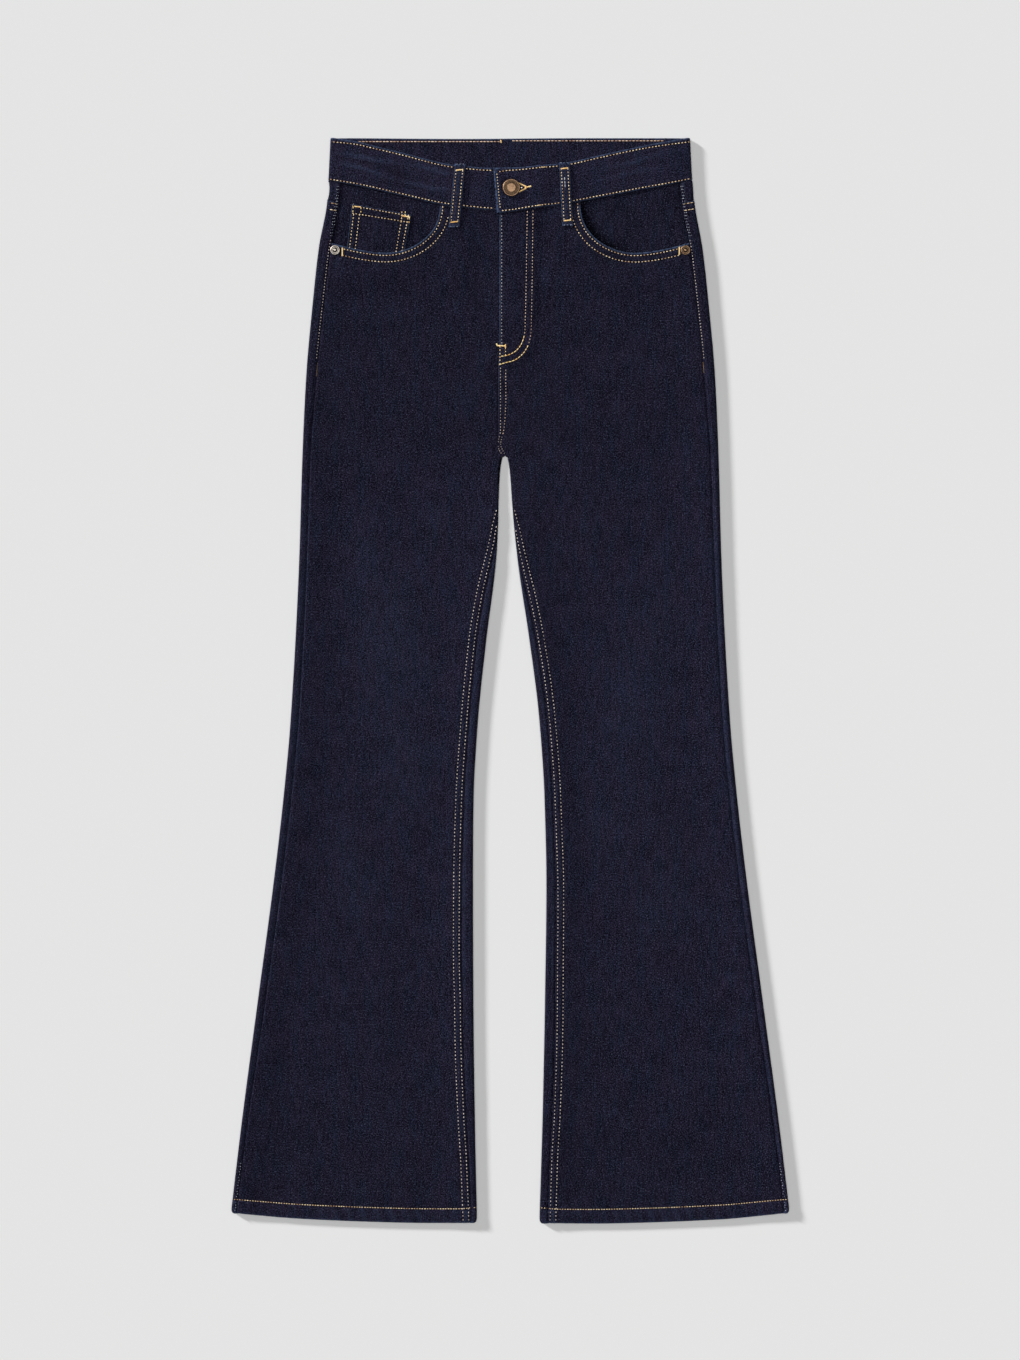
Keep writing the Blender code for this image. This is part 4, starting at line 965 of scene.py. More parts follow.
def makeBand():
    radius = float(smooth(sides, "fold", 0.0))
    quarter = np.pi * radius / 2
    share = np.array(bandShape["down"])[:, None]
    lapX = mix(band["overTop"], band["overBottom"], share)
    flatRuns = [-(jeans[key] - radius + quarter) for key in ("liftFrom", "liftMiddle", "liftTo")]
    runs = np.concatenate([np.array(bandShape["turns"]) * quarter, flatRuns])

    def frontPart(xs, lapped):
        x = mix(lapX, 150.0, xs) if lapped else xs + 0 * share
        low = dip(x, "bottom") + (lapLow(x) if lapped else 0)
        drop = mix(dip(x, "top") + backTop(x) * ease(np.abs(x), 120, 170), low, share)
        return x, drop, (bandHeight(x) if lapped else 2 * radius) + 0 * x

    def sidePart(side, runs):
        s = runs + 0 * share
        bottom = mix(band["seam"], dip(side * 182.0, "bottom"), ease(s, -quarter, quarter))
        drop = mix(backTop(side * 170.0), bottom, share)
        inward, height = rolled(s, radius)
        x = side * (outerEdge(drop) - inward)
        return x, drop, np.where(s < -quarter, seatLift(x, drop), height)

    backX = np.linspace(-157, 157, 70) + 0 * share
    backDrop = mix(backTop(backX), band["seam"], share)
    parts = [frontPart(np.linspace(band["underEnd"], -150, 62), False), sidePart(-1, runs),
             (backX, backDrop, seatLift(backX, backDrop)), sidePart(1, runs[::-1]),
             frontPart(np.concatenate([np.linspace(1, 0.04, 62), bandShape["lapEnd"]]), True)]
    x, drop, height = (np.concatenate(part, axis=1) for part in zip(*parts))
    fromTop, fromBottom = share * band["height"] + 0 * x, (1 - share) * band["height"] + 0 * x
    column = np.arange(x.shape[1])
    isOver = column >= sum(part[0].shape[1] for part in parts[:4])
    isUnder = column < parts[0][0].shape[1]
    isFront = isOver | isUnder
    fromEnd = np.where(isOver, np.abs(x - lapX), far)
    relief = rowSink(np.abs(fromTop - band["topRow"]), x, 7.0, 0.8)
    relief = relief + rowSink(np.abs(fromBottom - band["bottomRow"]), x, 9.0, 0.8)
    relief += rowSink(np.abs(fromEnd - band["endRow"]), drop, 2.0, 0.5)
    fromButton = np.hypot(x - bandShape["button"][0], drop - bandShape["button"][1])
    relief -= bandShape["drawnIn"] * (1 - ease(fromButton, 7.0, 11.0)) * isOver    # by the shank
    relief += 0.28 * np.sin(x / 34.0 + 0.6) * np.sin(np.pi * share)
    # the creases' ridges are rubbed paler and their troughs are darkened as painted shade
    rubbed = 0 * x
    creased = ease(-x, 40, 90) * (1 - ease(-x, 168, 178)) + 0.5 * ease(x, 60, 120) * (1 - ease(x, 165, 178))
    for at, slope, high in bandShape["creases"]:
        middle = at + 0.07 * np.sin(x / slope + 9 * at)
        crease = high * creased * bell(share - middle, 0.06) * (0.6 + 0.4 * np.sin(x / 15.0 + 20 * at))
        relief, rubbed = relief + crease, rubbed + 0.36 * crease
    raised = bell(fromTop - 2.9, 1.8) + bell(fromBottom - 2.0, 1.8)
    flatRelief = np.where(seatLift(x, drop) < 1.2, 0.4, 0.1) * raised * (height < 2.5)
    relief = np.where(isFront, relief, flatRelief)
    rim = np.minimum(np.minimum(fromTop, fromBottom), fromEnd)
    wearAndShade = mark("bandTop", fromTop) + mark("bandBottom", fromBottom)
    # less the painted shade beside the loops
    wearAndShade += mark("bandEnd", fromEnd) + np.where(isFront, rubbed - paintedLoopShade(x, drop), 0)
    # a ring of painted shade round the button
    wearAndShade += mark("button", fromButton - 9.3) * isOver
    # painted shade on the under end, beside the lap's end
    wearAndShade += np.where(isUnder, mark("shadeBesideLapEnd", x - band["overTop"] + 1.2), 0)
    piece = shell("denimWaistband", x, drop, height + relief, band["wall"], 1.0, bandDenim, rim, wearAndShade,
                  grainDrop=fromTop)
    piece.data.materials.append(denim)           # the back, seen from inside, gets the darker denim of the panels as painted shade
    for face in piece.data.polygons:
        if face.center.z < 4.2 * mm and abs(face.center.x) < 158 * mm:
            face.material_index = 1
    return piece


lay(makeBand(), "waistband")
print("waistband made")

# Pockets
backPocket = {
    "corners": [(36, 123), (42, 232), (97, 252), (152, 224), (164, 113)],     # in from centre back
    "centre": -3.3, "wall": 1.05, "rows": [2.2, 8.6], "hemRow": 12.0, "flat": (0.145, 0.16),
}


def edged(edges, start, end, count, last=True):  # shares from 0 to 1, closer at the edges
    closing = [1 - e for e in reversed(edges)] if last else []
    return np.array(edges + list(np.linspace(start, end, count)) + closing)


def makeFacing(side):
    across = np.linspace(0, 1, facing["columns"])[None, :]
    down = np.linspace(0, 1, facing["rows"])[:, None]
    drop = mix(band["seam"], facing["bottom"], down) + 0 * across
    for _ in range(4):
        x = side * mix(np.abs(seamX(side, drop)) - gap / 2, facing["inner"], across)
        drop = mix(dip(x, "bottom") + gap, facing["bottom"], down)
    height = frontHeight(side, x, drop, over=False) - jeans["denim"] - gap
    fromSeam, fromBand = np.abs(x - x[:, [0]]), drop - dip(x, "bottom")
    fromMouth, _ = distanceTo(mouthLine(side)[::2], x, drop)
    soft = 0.25 * np.sin(x / 17.0 + 1.0) * np.sin(np.pi * down) * ease(fromSeam, 5, 20)
    relief = tuck(fromSeam) * 0.9 + soft - 0.35 * bell(fromBand, 1.2)
    # painted shade deep in the left pocket's mouth
    deep = mark("shadeDeepInPocket", fromMouth) * ease(-x, -126, -98) if side > 0 else 0
    # painted shade in the mouth, under the waistband and along the side seam
    wearAndShade = deep + mark("shadeInMouth", fromMouth) + mark("shadeUnderBandOnFacing", fromBand - 1.5)
    wearAndShade += mark("shadeAtFacingSeam", fromSeam - 1.0)
    if side < 0:
        patch = np.array([coin["corners"][i] for i in (2, 0, 1, 3)], float)
        # painted shade round the coin pocket
        wearAndShade += mark("shadeBesidePatch", distanceTo(patch, x, drop)[0])
    return shell("facing" + sideNames[side], x, drop, height + np.minimum(relief, 0.15), jeans["denim"],
                 side, pocketDenim, None, wearAndShade)


def makeCoinPocket():
    edges = [0, 0.006, 0.016, 0.03, 0.05]
    t = edged(edges, 0.075, 0.925, 36)[None, :, None]
    v = edged(edges, 0.075, 1.0, 39, last=False)[:, None, None]
    topLeft, topRight, lowLeft, lowRight = np.array(coin["corners"])
    points = mix(mix(topLeft, topRight, t), mix(lowLeft, lowRight, t), v)
    x, drop = points[..., 0], points[..., 1]
    base = frontHeight(-1, x, drop, over=False) - jeans["denim"]
    wide, high = coin["size"]
    fromLeft, fromRight = t[..., 0] * wide + 0 * x, (1 - t[..., 0]) * wide + 0 * x
    fromTop = v[..., 0] * high + 0 * x
    rim = np.minimum(np.minimum(fromLeft, fromRight), fromTop)
    relief = np.zeros(x.shape)
    for edge, rows in ((fromTop, "hem"), (fromLeft, "sideRows"), (fromRight, "sideRows")):
        for distance in coin[rows]:
            relief += 0.7 * rowSink(np.abs(edge - distance), x + drop, distance, 0.6)
    relief += 0.35 * bell(fromTop - 5.5, 3.2)
    wearAndShade = mark("patchEdge", rim) + 0.7 * np.exp(-(fromTop + fromLeft) / 2.0)
    return shell("coinPocket", x, drop, base + coin["patch"] + relief, coin["patch"], -1.0, pocketDenim,
                 rim, wearAndShade)


def makeBackPocket(side):
    edges = [0, 0.005, 0.014, 0.028, 0.046]
    t = edged(edges, 0.07, 0.93, 30)[None, :, None]
    v = edged(edges, 0.07, 0.93, 34)[:, None, None]
    inTop, inLow, point, outLow, outTop = np.array(backPocket["corners"], float)
    low = np.where(t < 0.5, mix(inLow, point, t * 2), mix(point, outLow, t * 2 - 1))
    points = mix(mix(inTop, outTop, t), low, v)
    x, drop = side * points[..., 0] + backPocket["centre"], points[..., 1]
    outline = np.array(backPocket["corners"] + backPocket["corners"][:1], float)
    outline[:, 0] = side * outline[:, 0] + backPocket["centre"]
    rim, _ = distanceTo(outline, x, drop)
    fromSides, _ = distanceTo(outline[:-1], x, drop)
    sunk = sum(0.12 * bell(fromSides - distance, 1.0) for distance in backPocket["rows"])
    return shell("backPocket" + sideNames[side], x, drop, 0.1 + sunk + 0 * x, backPocket["wall"], side,
                 pocketDenim, rim, mark("pocketEdge", rim))


for side, word in sideNames.items():
    lay(makeFacing(side), "facing_" + word.lower())
lay(makeCoinPocket(), "coin_pocket")
for side, word in sideNames.items():
    node = "back_pocket_" + word.lower()
    lay(makeBackPocket(side), node)
print("pockets made")


# Belt loops
def loopGrid(topX, topDrop, endX, endDrop):
    down = np.array([0, 0.004, 0.01, 0.018, 0.03] + list(np.linspace(0.05, 0.95, 46)) +
                    [0.97, 0.982, 0.99, 0.996, 1])[:, None]
    half = [1.1, 2.2, 3.0, 3.8, 4.4, 4.8, 5.1, loops["half"]]
    across = np.array([-a for a in reversed(half)] + [0] + half)[None, :]
    x = mix(topX, endX, down) + across
    drop = mix(topDrop, endDrop, down) + 0 * across
    fromEnd = np.minimum(down, 1 - down) * loops["long"]
    rim = np.minimum(loops["half"] - np.abs(across), fromEnd) + 0 * x
    crown = 0.22 * bell(across, 1.7) - 0.2 * bell(np.abs(across) - 3.0, 0.9)
    return x, drop, down + 0 * x, rim, crown + 0 * x


def makeFrontLoop(word, ends):
    topX, topDrop, endX, endDrop = ends
    x, drop, down, rim, crown = loopGrid(*ends)
    panel = float(frontHeight(-1 if topX < 0 else 1, np.array(endX), np.array(endDrop)))
    bandTop = float(np.max(bandHeight(np.array([topX - 10, endX + 10]))))
    height = mix(bandTop, panel, ease(down, 0.64, 0.84)) + gap + loops["wall"]
    height += loops["arch"] * np.sin(np.pi * np.clip((down - 0.08) / 0.56, 0, 1)) + crown
    tacked = bell(down * loops["long"] - loops["tacks"][0], 2.0)
    tacked += bell((1 - down) * loops["long"] - loops["tacks"][1], 2)
    wearAndShade = mark("loopEdge", rim) + mark("loopEnd", np.minimum(down, 1 - down) * loops["long"]) + 0.1
    return shell("frontLoop" + word, x, drop, height - 0.25 * tacked, loops["wall"], -1.0, bandDenim, rim,
                 wearAndShade)


def makeBackLoop(word, at):
    x, drop, down, rim, crown = loopGrid(at, loops["backTop"], at, loops["backEnd"])
    return shell("backLoop" + word, x, drop, 0.1 - np.minimum(crown, 0) * 0.5, 1.1, 1.0, bandDenim, rim,
                 mark("backLoop", rim) + 0.15)


for word, ends in loops["front"].items():
    node = "loop_front_" + word.lower()
    lay(makeFrontLoop(word, ends), node)
for word, at in loops["back"].items():
    node = "loop_back_" + word.lower()
    lay(makeBackLoop(word, at), node)
print("belt loops made")

# Sewing
random = np.random.default_rng(11)
stitchKinds = {              # pitch, length, width and height of a stitch
    "top": (3.3, 1.85, 1.15, 0.75),
    "fine": (3.1, 1.5, 0.95, 0.6),
    "seam": (3.65, 1.8, 1.05, 0.6),
    "small": (2.4, 1.2, 0.75, 0.45),
    "fray": (3.1, 1.0, 0.8, 0.45),
    "edge": (3.3, 1.7, 0.75, 0.5),
    "close": (3.3, 1.85, 1.05, 0.75),
    "dusty": (3.3, 1.9, 0.95, 0.6),
    "long": (3.5, 3.2, 1.05, 0.65),
    "hem": (2.6, 1.8, 0.92, 0.75),
    "tack": (0.5, 1.5, 0.7, 0.6),
    "hole": (0.55, 1.7, 0.8, 0.7),
}
needleStart = 0.05           # metres above the floor, or under it


def touch(cloths, x, drop, below=False):         # where a needle meets the cloth
    way = Vector((0, 0, 1 if below else -1))
    start = Vector((x * mm, (jeans["length"] / 2 - drop) * mm, 0)) - way * needleStart
    hits = [surfaces[name].ray_cast(start, way) for name in cloths]
    hits = [(place, normal, distance) for place, normal, _, distance in hits if place is not None]
    return min(hits, key=lambda hit: hit[2]) if hits else None


def makeUnitStitch(slot):    # of the size 1, with few faces, as there are thousands
    ball = bmesh.new()
    bmesh.ops.create_uvsphere(ball, u_segments=6, v_segments=4, radius=1.0)
    for face in ball.faces:
        face.material_index = slot
    mesh = bpy.data.meshes.new("unitStitch")
    ball.to_mesh(mesh)
    ball.free()
    return mesh


unitStitch, unitHoleShade = makeUnitStitch(0), makeUnitStitch(1)


def addStitch(work, a, b, up, wide, high, unit=unitStitch):      # sunk into the cloth, deeper underneath
    run = b - a
    forward = run.normalized()
    sideways = up.cross(forward).normalized()
    upright = forward.cross(sideways)
    centre = (a + b) / 2 + upright * high * mm * (0.18 if up.z > 0 else -0.05)
    if up.z < 0:
        centre.z = max(centre.z, high * mm * 0.45)
    columns = [sideways * wide * mm / 2, upright * high * mm / 2, forward * run.length / 2]
    stitch = unit.copy()
    stitch.transform(Matrix.Translation(centre) @ Matrix(columns).transposed().to_4x4())
    work.from_mesh(stitch)
    bpy.data.meshes.remove(stitch)


def sewRow(work, line, cloths, kind, below=False):
    pitch, length, wide, high = stitchKinds[kind]
    run = arcLength(line)
    total = run[-1]
    count = max(int(round(total / pitch)), 1)
    for i in range(count):
        middle = (i + 0.5) * total / count + random.uniform(-0.15, 0.15)
        half = length * random.uniform(0.92, 1.06) / 2
        ends = [(np.interp(middle + step, run, line[:, 0]), np.interp(middle + step, run, line[:, 1]))
                for step in (-half, half)]
        drift = random.uniform(-0.1, 0.1, 2)
        hits = [touch(cloths, end[0] + d, end[1], below) for end, d in zip(ends, drift)]
        if None in hits:
            continue
        (start, upStart, _), (end, upEnd, _) = hits
        up = (upStart + upEnd).normalized()
        addStitch(work, start, end, up, wide, high)
        if not below and i < count - 1:          # a dark blob of painted shade for the needle's hole, where the thread goes down
            size = (end - start).normalized() * max(pitch - length, 0.6) * 1.25 * mm
            addStitch(work, end, end + size, up, wide * 1.25, 0.3, unitHoleShade)


def tackRow(work, start, end, cloths, below=False, kind="tack"):     # threads side by side across a line
    pitch, length, wide, high = stitchKinds[kind]
    start, end = np.array(start, float), np.array(end, float)
    total = np.hypot(*(end - start))
    forward = (end - start) / total
    across = np.array([-forward[1], forward[0]])
    for i in range(int(total / pitch) + 1):
        middle = start + forward * i * pitch + forward * random.uniform(-0.08, 0.08)
        half = across * length / 2 * random.uniform(0.85, 1.1) + forward * 0.15
        hits = [touch(cloths, *(middle + step), below) for step in (-half, half)]
        if None in hits:
            continue
        addStitch(work, hits[0][0], hits[1][0], (hits[0][1] + hits[1][1]).normalized(), wide, high)


def sewn(name, work, finish):
    for vert in work.verts:                      # pressed flat where the garment rests
        vert.co.z = max(vert.co.z, 0.0)
    bmesh.ops.recalc_face_normals(work, faces=work.faces)
    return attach(addPiece(name, work, [finish, holeShade]), "root")


def clear(line, gaps):       # the runs of a line outside some stretches of x
    keep = np.ones(len(line), bool)
    for low, high in gaps:
        keep &= ~((line[:, 0] > low) & (line[:, 0] < high))
    cuts = np.flatnonzero(np.diff(keep.astype(int))) + 1
    parts = zip(np.split(line, cuts), np.split(keep, cuts))
    return [part for part, kept in parts if kept[0] and len(part) > 2]


bandSewing = {
    "topGaps": [(-56.2, -45.4), (48.6, 59.6), (-17.4, -12.4)],     # x, at the loops and the lap
    "bottomGaps": [(-59.9, -48.6), (50.6, 61.6), (-17.0, -9.4)],
    "endDrops": (34.2, 70.0),
    "inside": ((-152.0, -9.5, 2.3), (1.6, 154.0, 1.5)),            # x from, x to and drop
    "backDrops": (2.4, band["seam"] - 2.0), "backGap": 5.8,
}


def sewBand():
    work, rosy, cloth = bmesh.new(), bmesh.new(), ["denimWaistband"]
    x = np.arange(-181.0, 181.0, 1.0)
    overlap = x > -14
    turnedDown = np.where(overlap, 2.5 * np.exp(-(x + 13.0) / 7.0), 0)
    top = lineOf(x, dip(x, "top") + band["topRow"] + turnedDown)
    bottom = lineOf(x, dip(x, "bottom") - band["bottomRow"] + np.where(overlap, lapLow(x), 0))
    for line in clear(top, bandSewing["topGaps"]) + clear(bottom, bandSewing["bottomGaps"]):
        sewRow(work, line, cloth, "top")
    endX = np.array([band["overTop"], band["overBottom"]]) + band["endRow"]
    sewRow(work, lineOf(endX, bandSewing["endDrops"]), cloth, "fine")
    for start, end, at in bandSewing["inside"]:
        sewRow(rosy, lineOf(np.arange(start, end, 1.0), at), cloth, "long")
    backGaps = [(at - bandSewing["backGap"], at + bandSewing["backGap"]) for at in loops["back"].values()]
    for atDrop in bandSewing["backDrops"]:
        for line in clear(lineOf(np.arange(-176.0, 176.0, 1.0), atDrop), backGaps):
            sewRow(work, line, cloth, "top", below=True)
    sewn("waistbandStitches", work, thread["topstitch"])
    sewn("insideStitches", rosy, thread["rosy"])


def hemLine(side, outerIn, innerIn, raised=0.0):
    share = np.linspace(0, 1, 80)
    drop = slanted(side, jeans["length"] - frontPanel["hemRow"], share) - raised * ease(share, 0.93, 1.0)
    outerX, innerX = side * (outerEdge(drop) - outerIn), innerEdge(side, drop) + side * innerIn
    return lineOf(mix(outerX, innerX, share), drop)


frontSewing = {
    "behindLoop": {-1: (-61.8, -50.0), 1: (51.4, 61.9)}, "loopsEnd": 88,
    "riseTurns": 296, "inseamsMeet": (-450, -385), "inseamsFrom": 366, "inseamShows": 2.6,
}


def sewFront(side):
    work, grey, dull = bmesh.new(), bmesh.new(), bmesh.new()
    word = sideNames[side]
    cloth, both = ["front" + word], ["frontLeft", "frontRight"]
    low, high = frontSewing["behindLoop"][side]
    for key, line in stitchesOfFront(side).items():
        x, drop = line.T
        if key.startswith("rise"):
            turning = drop > frontSewing["riseTurns"]
            sewRow(grey if key == "riseInner" else dull, line[~turning], both, "fine")
            sewRow(grey, line[turning], both, "small")
        elif key in ("flyInner", "flyOuter"):
            sewRow(dull, line[:-fly["golden"]], cloth, "dusty")
        elif key.startswith("mouth"):
            sewRow(work, line[(drop > frontSewing["loopsEnd"]) | (x < low) | (x > high)], cloth, "close")
        else:
            sewRow(grey, line, cloth, "edge")
    drops = np.arange(322.0, jeans["length"] - 0.8, 2.0)
    for distance in frontPanel["inseamRows"]:
        narrower = frontPanel["rowsMeet"] * ramp(-drops, *frontSewing["inseamsMeet"]) * (distance > 5)
        run = inseam(side, drops) + distance - narrower
        inward, _ = rolled(run, smooth(between, "fold", drops))
        shows = (run > frontSewing["inseamShows"]) & (drops > frontSewing["inseamsFrom"])
        sewRow(grey, lineOf(innerEdge(side, drops) + side * inward, drops)[shows], cloth, "seam")
    sewRow(work, hemLine(side, 1.0, 0.8, 1.3), cloth + ["back" + word], "hem")
    sewn("frontStitches" + word, work, thread["topstitch"])
    if side > 0:
        sewn("flyStitches", dull, thread["dusty"])
    sewn("inseamStitches" + word, grey, thread["fine"])


def sewBack(side):
    work, grey, pale = bmesh.new(), bmesh.new(), bmesh.new()
    word = sideNames[side]
    cloth, hip = ["back" + word], ["back" + word, "yoke" + word]
    for distance in backPanel["topRows"]:        # under the yoke seam, behind and at the side
        x = np.linspace(side * 2.5, side * 176, 60)
        seam = lineOf(x + smooth(centres, "back", 100.0), yokeDrop(x) + distance)
        sewRow(work, seam, cloth, "top", below=True)
        share = np.linspace(0, 1, 12)
        drop = yokeDrop(side * 180.0) + distance
        start, end = abs(seamX(side, drop)) + 0.8, outerEdge(drop) - 0.4
        sewRow(work, lineOf(side * mix(start, end, share), drop + 1.0 - 1.8 * share), hip, "long")
    for distance in backPanel["seatRows"] if side > 0 else ():
        drops = np.arange(104.0, 308.0, 2.0)
        sewRow(work, lineOf(smooth(centres, "back", drops) + distance, drops), cloth, "top", below=True)
    drops = np.arange(46.0, backPanel["sideRowEnd"], 2.0)
    sideRow = lineOf(seamX(side, drops) + side * backPanel["sideRow"], drops)
    upper = sideRow[:, 1] < 100
    for beside in (-0.2, 1.3):                   # frayed and pale beside the pocket, sewn below it
        at = sideRow[upper, 1:]
        wander = (np.sin(at * 1.7 + 2.0 * beside) + np.sin(at * 0.61)) * [0.45, 0]
        sewRow(pale, sideRow[upper] + [side * beside, 0] + wander, hip, "fray")
    sewRow(grey, sideRow[~upper], cloth, "fine")
    drops = np.arange(1030.0, 1081.0, 2.0)       # and again at the hem
    low = lineOf(seamX(side, drops) + side * (0.6 + 0.7 * np.sin(drops * 1.3)), drops - 7.5)
    sewRow(pale, low, cloth, "fray")
    sewRow(work, hemLine(side, 3.0, 3.0), cloth, "close", below=True)
    pocket = np.array([(side * a + backPocket["centre"], b) for a, b in backPocket["corners"]], float)
    middle = np.array([side * 99 + backPocket["centre"], 175.0])
    for distance in backPocket["rows"]:
        line = middle + (pocket - middle) * (1 - distance / 62.0)
        line[[0, -1], 1] = pocket[[0, -1], 1] + 1.0
        sewRow(work, evenly(line, 200), ["backPocket" + word], "top", below=True)
    for distance in (2.0, backPocket["hemRow"]):
        line = evenly(np.array([pocket[0], pocket[-1]]) + [0, distance], 60)[2:-2]
        sewRow(work, line, ["backPocket" + word], "top", below=True)
    sewn("backStitches" + word, work, thread["topstitch"])
    sewn("sideStitches" + word, grey, thread["fine"])
    sewn("sideFray" + word, pale, thread["pale"])


def sewCoinPocket():
    work, cloth = bmesh.new(), ["coinPocket"]
    topLeft, topRight, lowLeft, lowRight = np.array(coin["corners"])
    wide, high = coin["sewnSize"]
    for distance in coin["hem"]:
        t = distance / high
        line = np.array([mix(topLeft, lowLeft, t), mix(topRight, lowRight, t)])
        line = line + (line[1] - line[0]) * np.array([[0.015], [-0.015]])
        sewRow(work, evenly(line, 40), cloth, "close")
    edge = mouthLine(-1)
    order = np.argsort(edge[:, 0])
    for distance in coin["sideRows"]:
        t = distance / wide
        for start, end, low, lowEnd in ((topLeft, topRight, lowLeft, lowRight),
                                        (topRight, topLeft, lowRight, lowLeft)):
            line = evenly(np.array([mix(start, end, t), mix(low, lowEnd, t)]), 60)
            x, drop = line.T
            fromEdge, _ = distanceTo(edge[::2], x, drop)
            above = drop < np.interp(x, edge[order, 0], edge[order, 1]) + 2
            sewRow(work, line[above & (drop > 74) & (drop < 116) & (fromEdge > 0.5)], cloth, "close")
    sewn("coinPocketStitches", work, thread["topstitch"])


def sewLoops():
    work, pale = bmesh.new(), bmesh.new()
    for word, (topX, topDrop, endX, endDrop) in loops["front"].items():
        cloth = ["frontLoop" + word]
        ends = np.array([(topX, topDrop), (endX, endDrop)])
        for offset in (-loops["rows"], loops["rows"]):
            sewRow(work, evenly(ends + [offset, 0], 60)[5:-5], cloth, "close")
        for t in (0.006, 0.985):                 # the cut ends fray
            across = np.array([(-4.8, 0.6), (-1.5, -0.4), (1.5, 0.5), (4.8, -0.5)])
            sewRow(pale, evenly(mix(ends[0], ends[1], t) + across, 20), cloth, "fray")
    for word, at in loops["back"].items():
        for offset in (-loops["rows"], loops["rows"]):
            line = evenly(np.array([(at + offset, 3.0), (at + offset, 58.0)]), 60)
            sewRow(work, line, ["backLoop" + word], "close", below=True)
    bare = np.array([(54.3, 38.5), (54.9, 49.0)])          # a pale bare thread between the rows
    sewRow(pale, bare, ["frontLoopLeft"], "long")
    sewn("loopStitches", work, thread["topstitch"])
    sewn("loopFray", pale, thread["pale"])


patch, lap = ["coinPocket", "facingRight"], ["frontLeft", "frontRight"]
tacks = [                    # each bar tack's ends and the cloths under it
    ((-167.8, 109.0), (-167.8, 117.4), ["frontRight"]), ((169.0, 108.0), (169.0, 115.8), ["frontLeft"]),
    ((-157.6, 67.2), (-149.2, 68.0), patch), ((-108.3, 76.6), (-100.4, 78.2), patch),
]
patchRows = [(-156.8, 63.6, 74.0), (-149.0, 67.5, 74.5), (-108.3, 71.8, 83.5), (-104.8, 71.6, 77.0),
             (-100.8, 78.0, 84.5)]               # short upright rows at its corners: x and drops
flyTacks = [
    ((-9.6, 0.8), (-9.0, 3.6), ["denimWaistband"]), ((-13.2, 206.3), (-4.9, 206.9), lap),
    ((-13.8, 204.6), (-12.6, 206.4), lap), ((-4.8, 205.4), (-4.8, 208.4), ["frontLeft"]),
]
flyRows = [((-10.2, 206.0), (-10.3, 226.4), "close"), ((-4.8, 208.0), (-4.8, 217.0), "fine")]
knots = [(33.1, 28.3, -0.10), (28.5, 66.6, -0.14)]         # where a row overlaps: x, drop and slope
sideTacks = [
    ((-192.9, 223.7), (-193.6, 236.7), ["backRight"]), ((192.5, 223.0), (193.2, 233.7), ["backLeft"]),
]


def sewTacks():
    work = bmesh.new()
    for word, (topX, topDrop, endX, endDrop) in loops["front"].items():
        for t in (loops["tacks"][0] / loops["long"], 1 - loops["tacks"][1] / loops["long"]):
            x, drop = mix(topX, endX, t), mix(topDrop, endDrop, t)
            tackRow(work, (x - 3.6, drop + 0.2), (x + 3.6, drop - 0.6), ["frontLoop" + word])
    for word, at in loops["back"].items():
        for drop in (6.0, 56.0):
            tackRow(work, (at - 3.3, drop), (at + 3.3, drop), ["backLoop" + word], below=True)
    for start, end, cloths in tacks:
        tackRow(work, start, end, cloths)
    for x, start, end in patchRows:
        sewRow(work, np.array([(x, start), (x - 0.5, end)]), patch, "dusty")
    for start, end, cloths in flyTacks:
        tackRow(work, start, end, cloths)
    for start, end, kind in flyRows:
        sewRow(work, np.array([start, end]), ["frontLeft"], kind)
    for key in ("inner", "outer"):
        sewRow(work, curved(fly[key])[-fly["golden"]:], ["frontLeft"], "long")
    for x, drop, slope in knots:
        line = np.array([(x - 2.6, drop - 2.6 * slope), (x + 2.6, drop + 2.6 * slope)])
        sewRow(work, line, ["denimWaistband"], "close")
    for start, end, cloths in sideTacks:
        tackRow(work, start, end, cloths)
    sewn("barTacks", work, thread["barTack"])


sewBand()
for side in sideNames:
    sewFront(side)
    sewBack(side)
sewCoinPocket()
sewLoops()
sewTacks()
print("stitches sewn")

# Button, buttonhole and rivets
button = {
    "sag": 0.8, "steps": 72,                   # it hangs a little low in its hole
    "profile": [(0.0, -1.2), (3.6, -1.2), (4.0, 0.35), (7.6, 0.4), (8.4, 0.75), (8.75, 1.3), (8.7, 1.75),
                (8.4, 2.15), (8.0, 2.3), (7.6, 2.28), (7.3, 2.16), (7.1, 2.1), (4.9, 2.1), (4.65, 2.2),
                (4.45, 2.36), (4.2, 2.42), (2.0, 2.46), (0.0, 2.47)],
    "bright": [0, 0, 0, 0, 0.2, 0.45, 0.8, 1.0, 0.95, 0.6, 0.2, 0.28, 0.28, 0.05, 0.6, 0.88, 0.88, 0.88],
    "beads": 27, "beadRadius": 6.0, "beadHeight": 2.1, "beadSize": (1.5, 0.5, 0.1),
}
rivet = {
    "steps": 48,
    "profile": [(0.0, 0.0), (4.5, 0.0), (4.85, 0.25), (4.8, 0.6), (4.45, 0.95), (4.0, 1.05), (3.7, 0.85),
                (3.4, 0.72), (3.1, 0.8), (2.8, 0.95), (2.5, 0.86), (2.1, 0.7), (1.7, 0.78), (1.35, 1.15),
                (0.8, 1.4), (0.0, 1.48)],
    "bright": [0, 0, 0.3, 0.8, 1, 0.9, 0.3, 0, 0.3, 0.9, 0.2, 0, 0, 0.4, 0.9, 1],
}
hole = {
    "drop": 48.8, "start": 8.6, "end": 15.6, "point": 21.0, "arms": 4.3,
    # the eye's disc of painted shade: how far in, and its size
    "eyeIn": 3.0, "eye": (2.6, 1.5, 0.35),
    "footX": 11.3, "footDrop": 48.9, "foot": 1.05,         # bare metal of the shank, seen in the eye
}


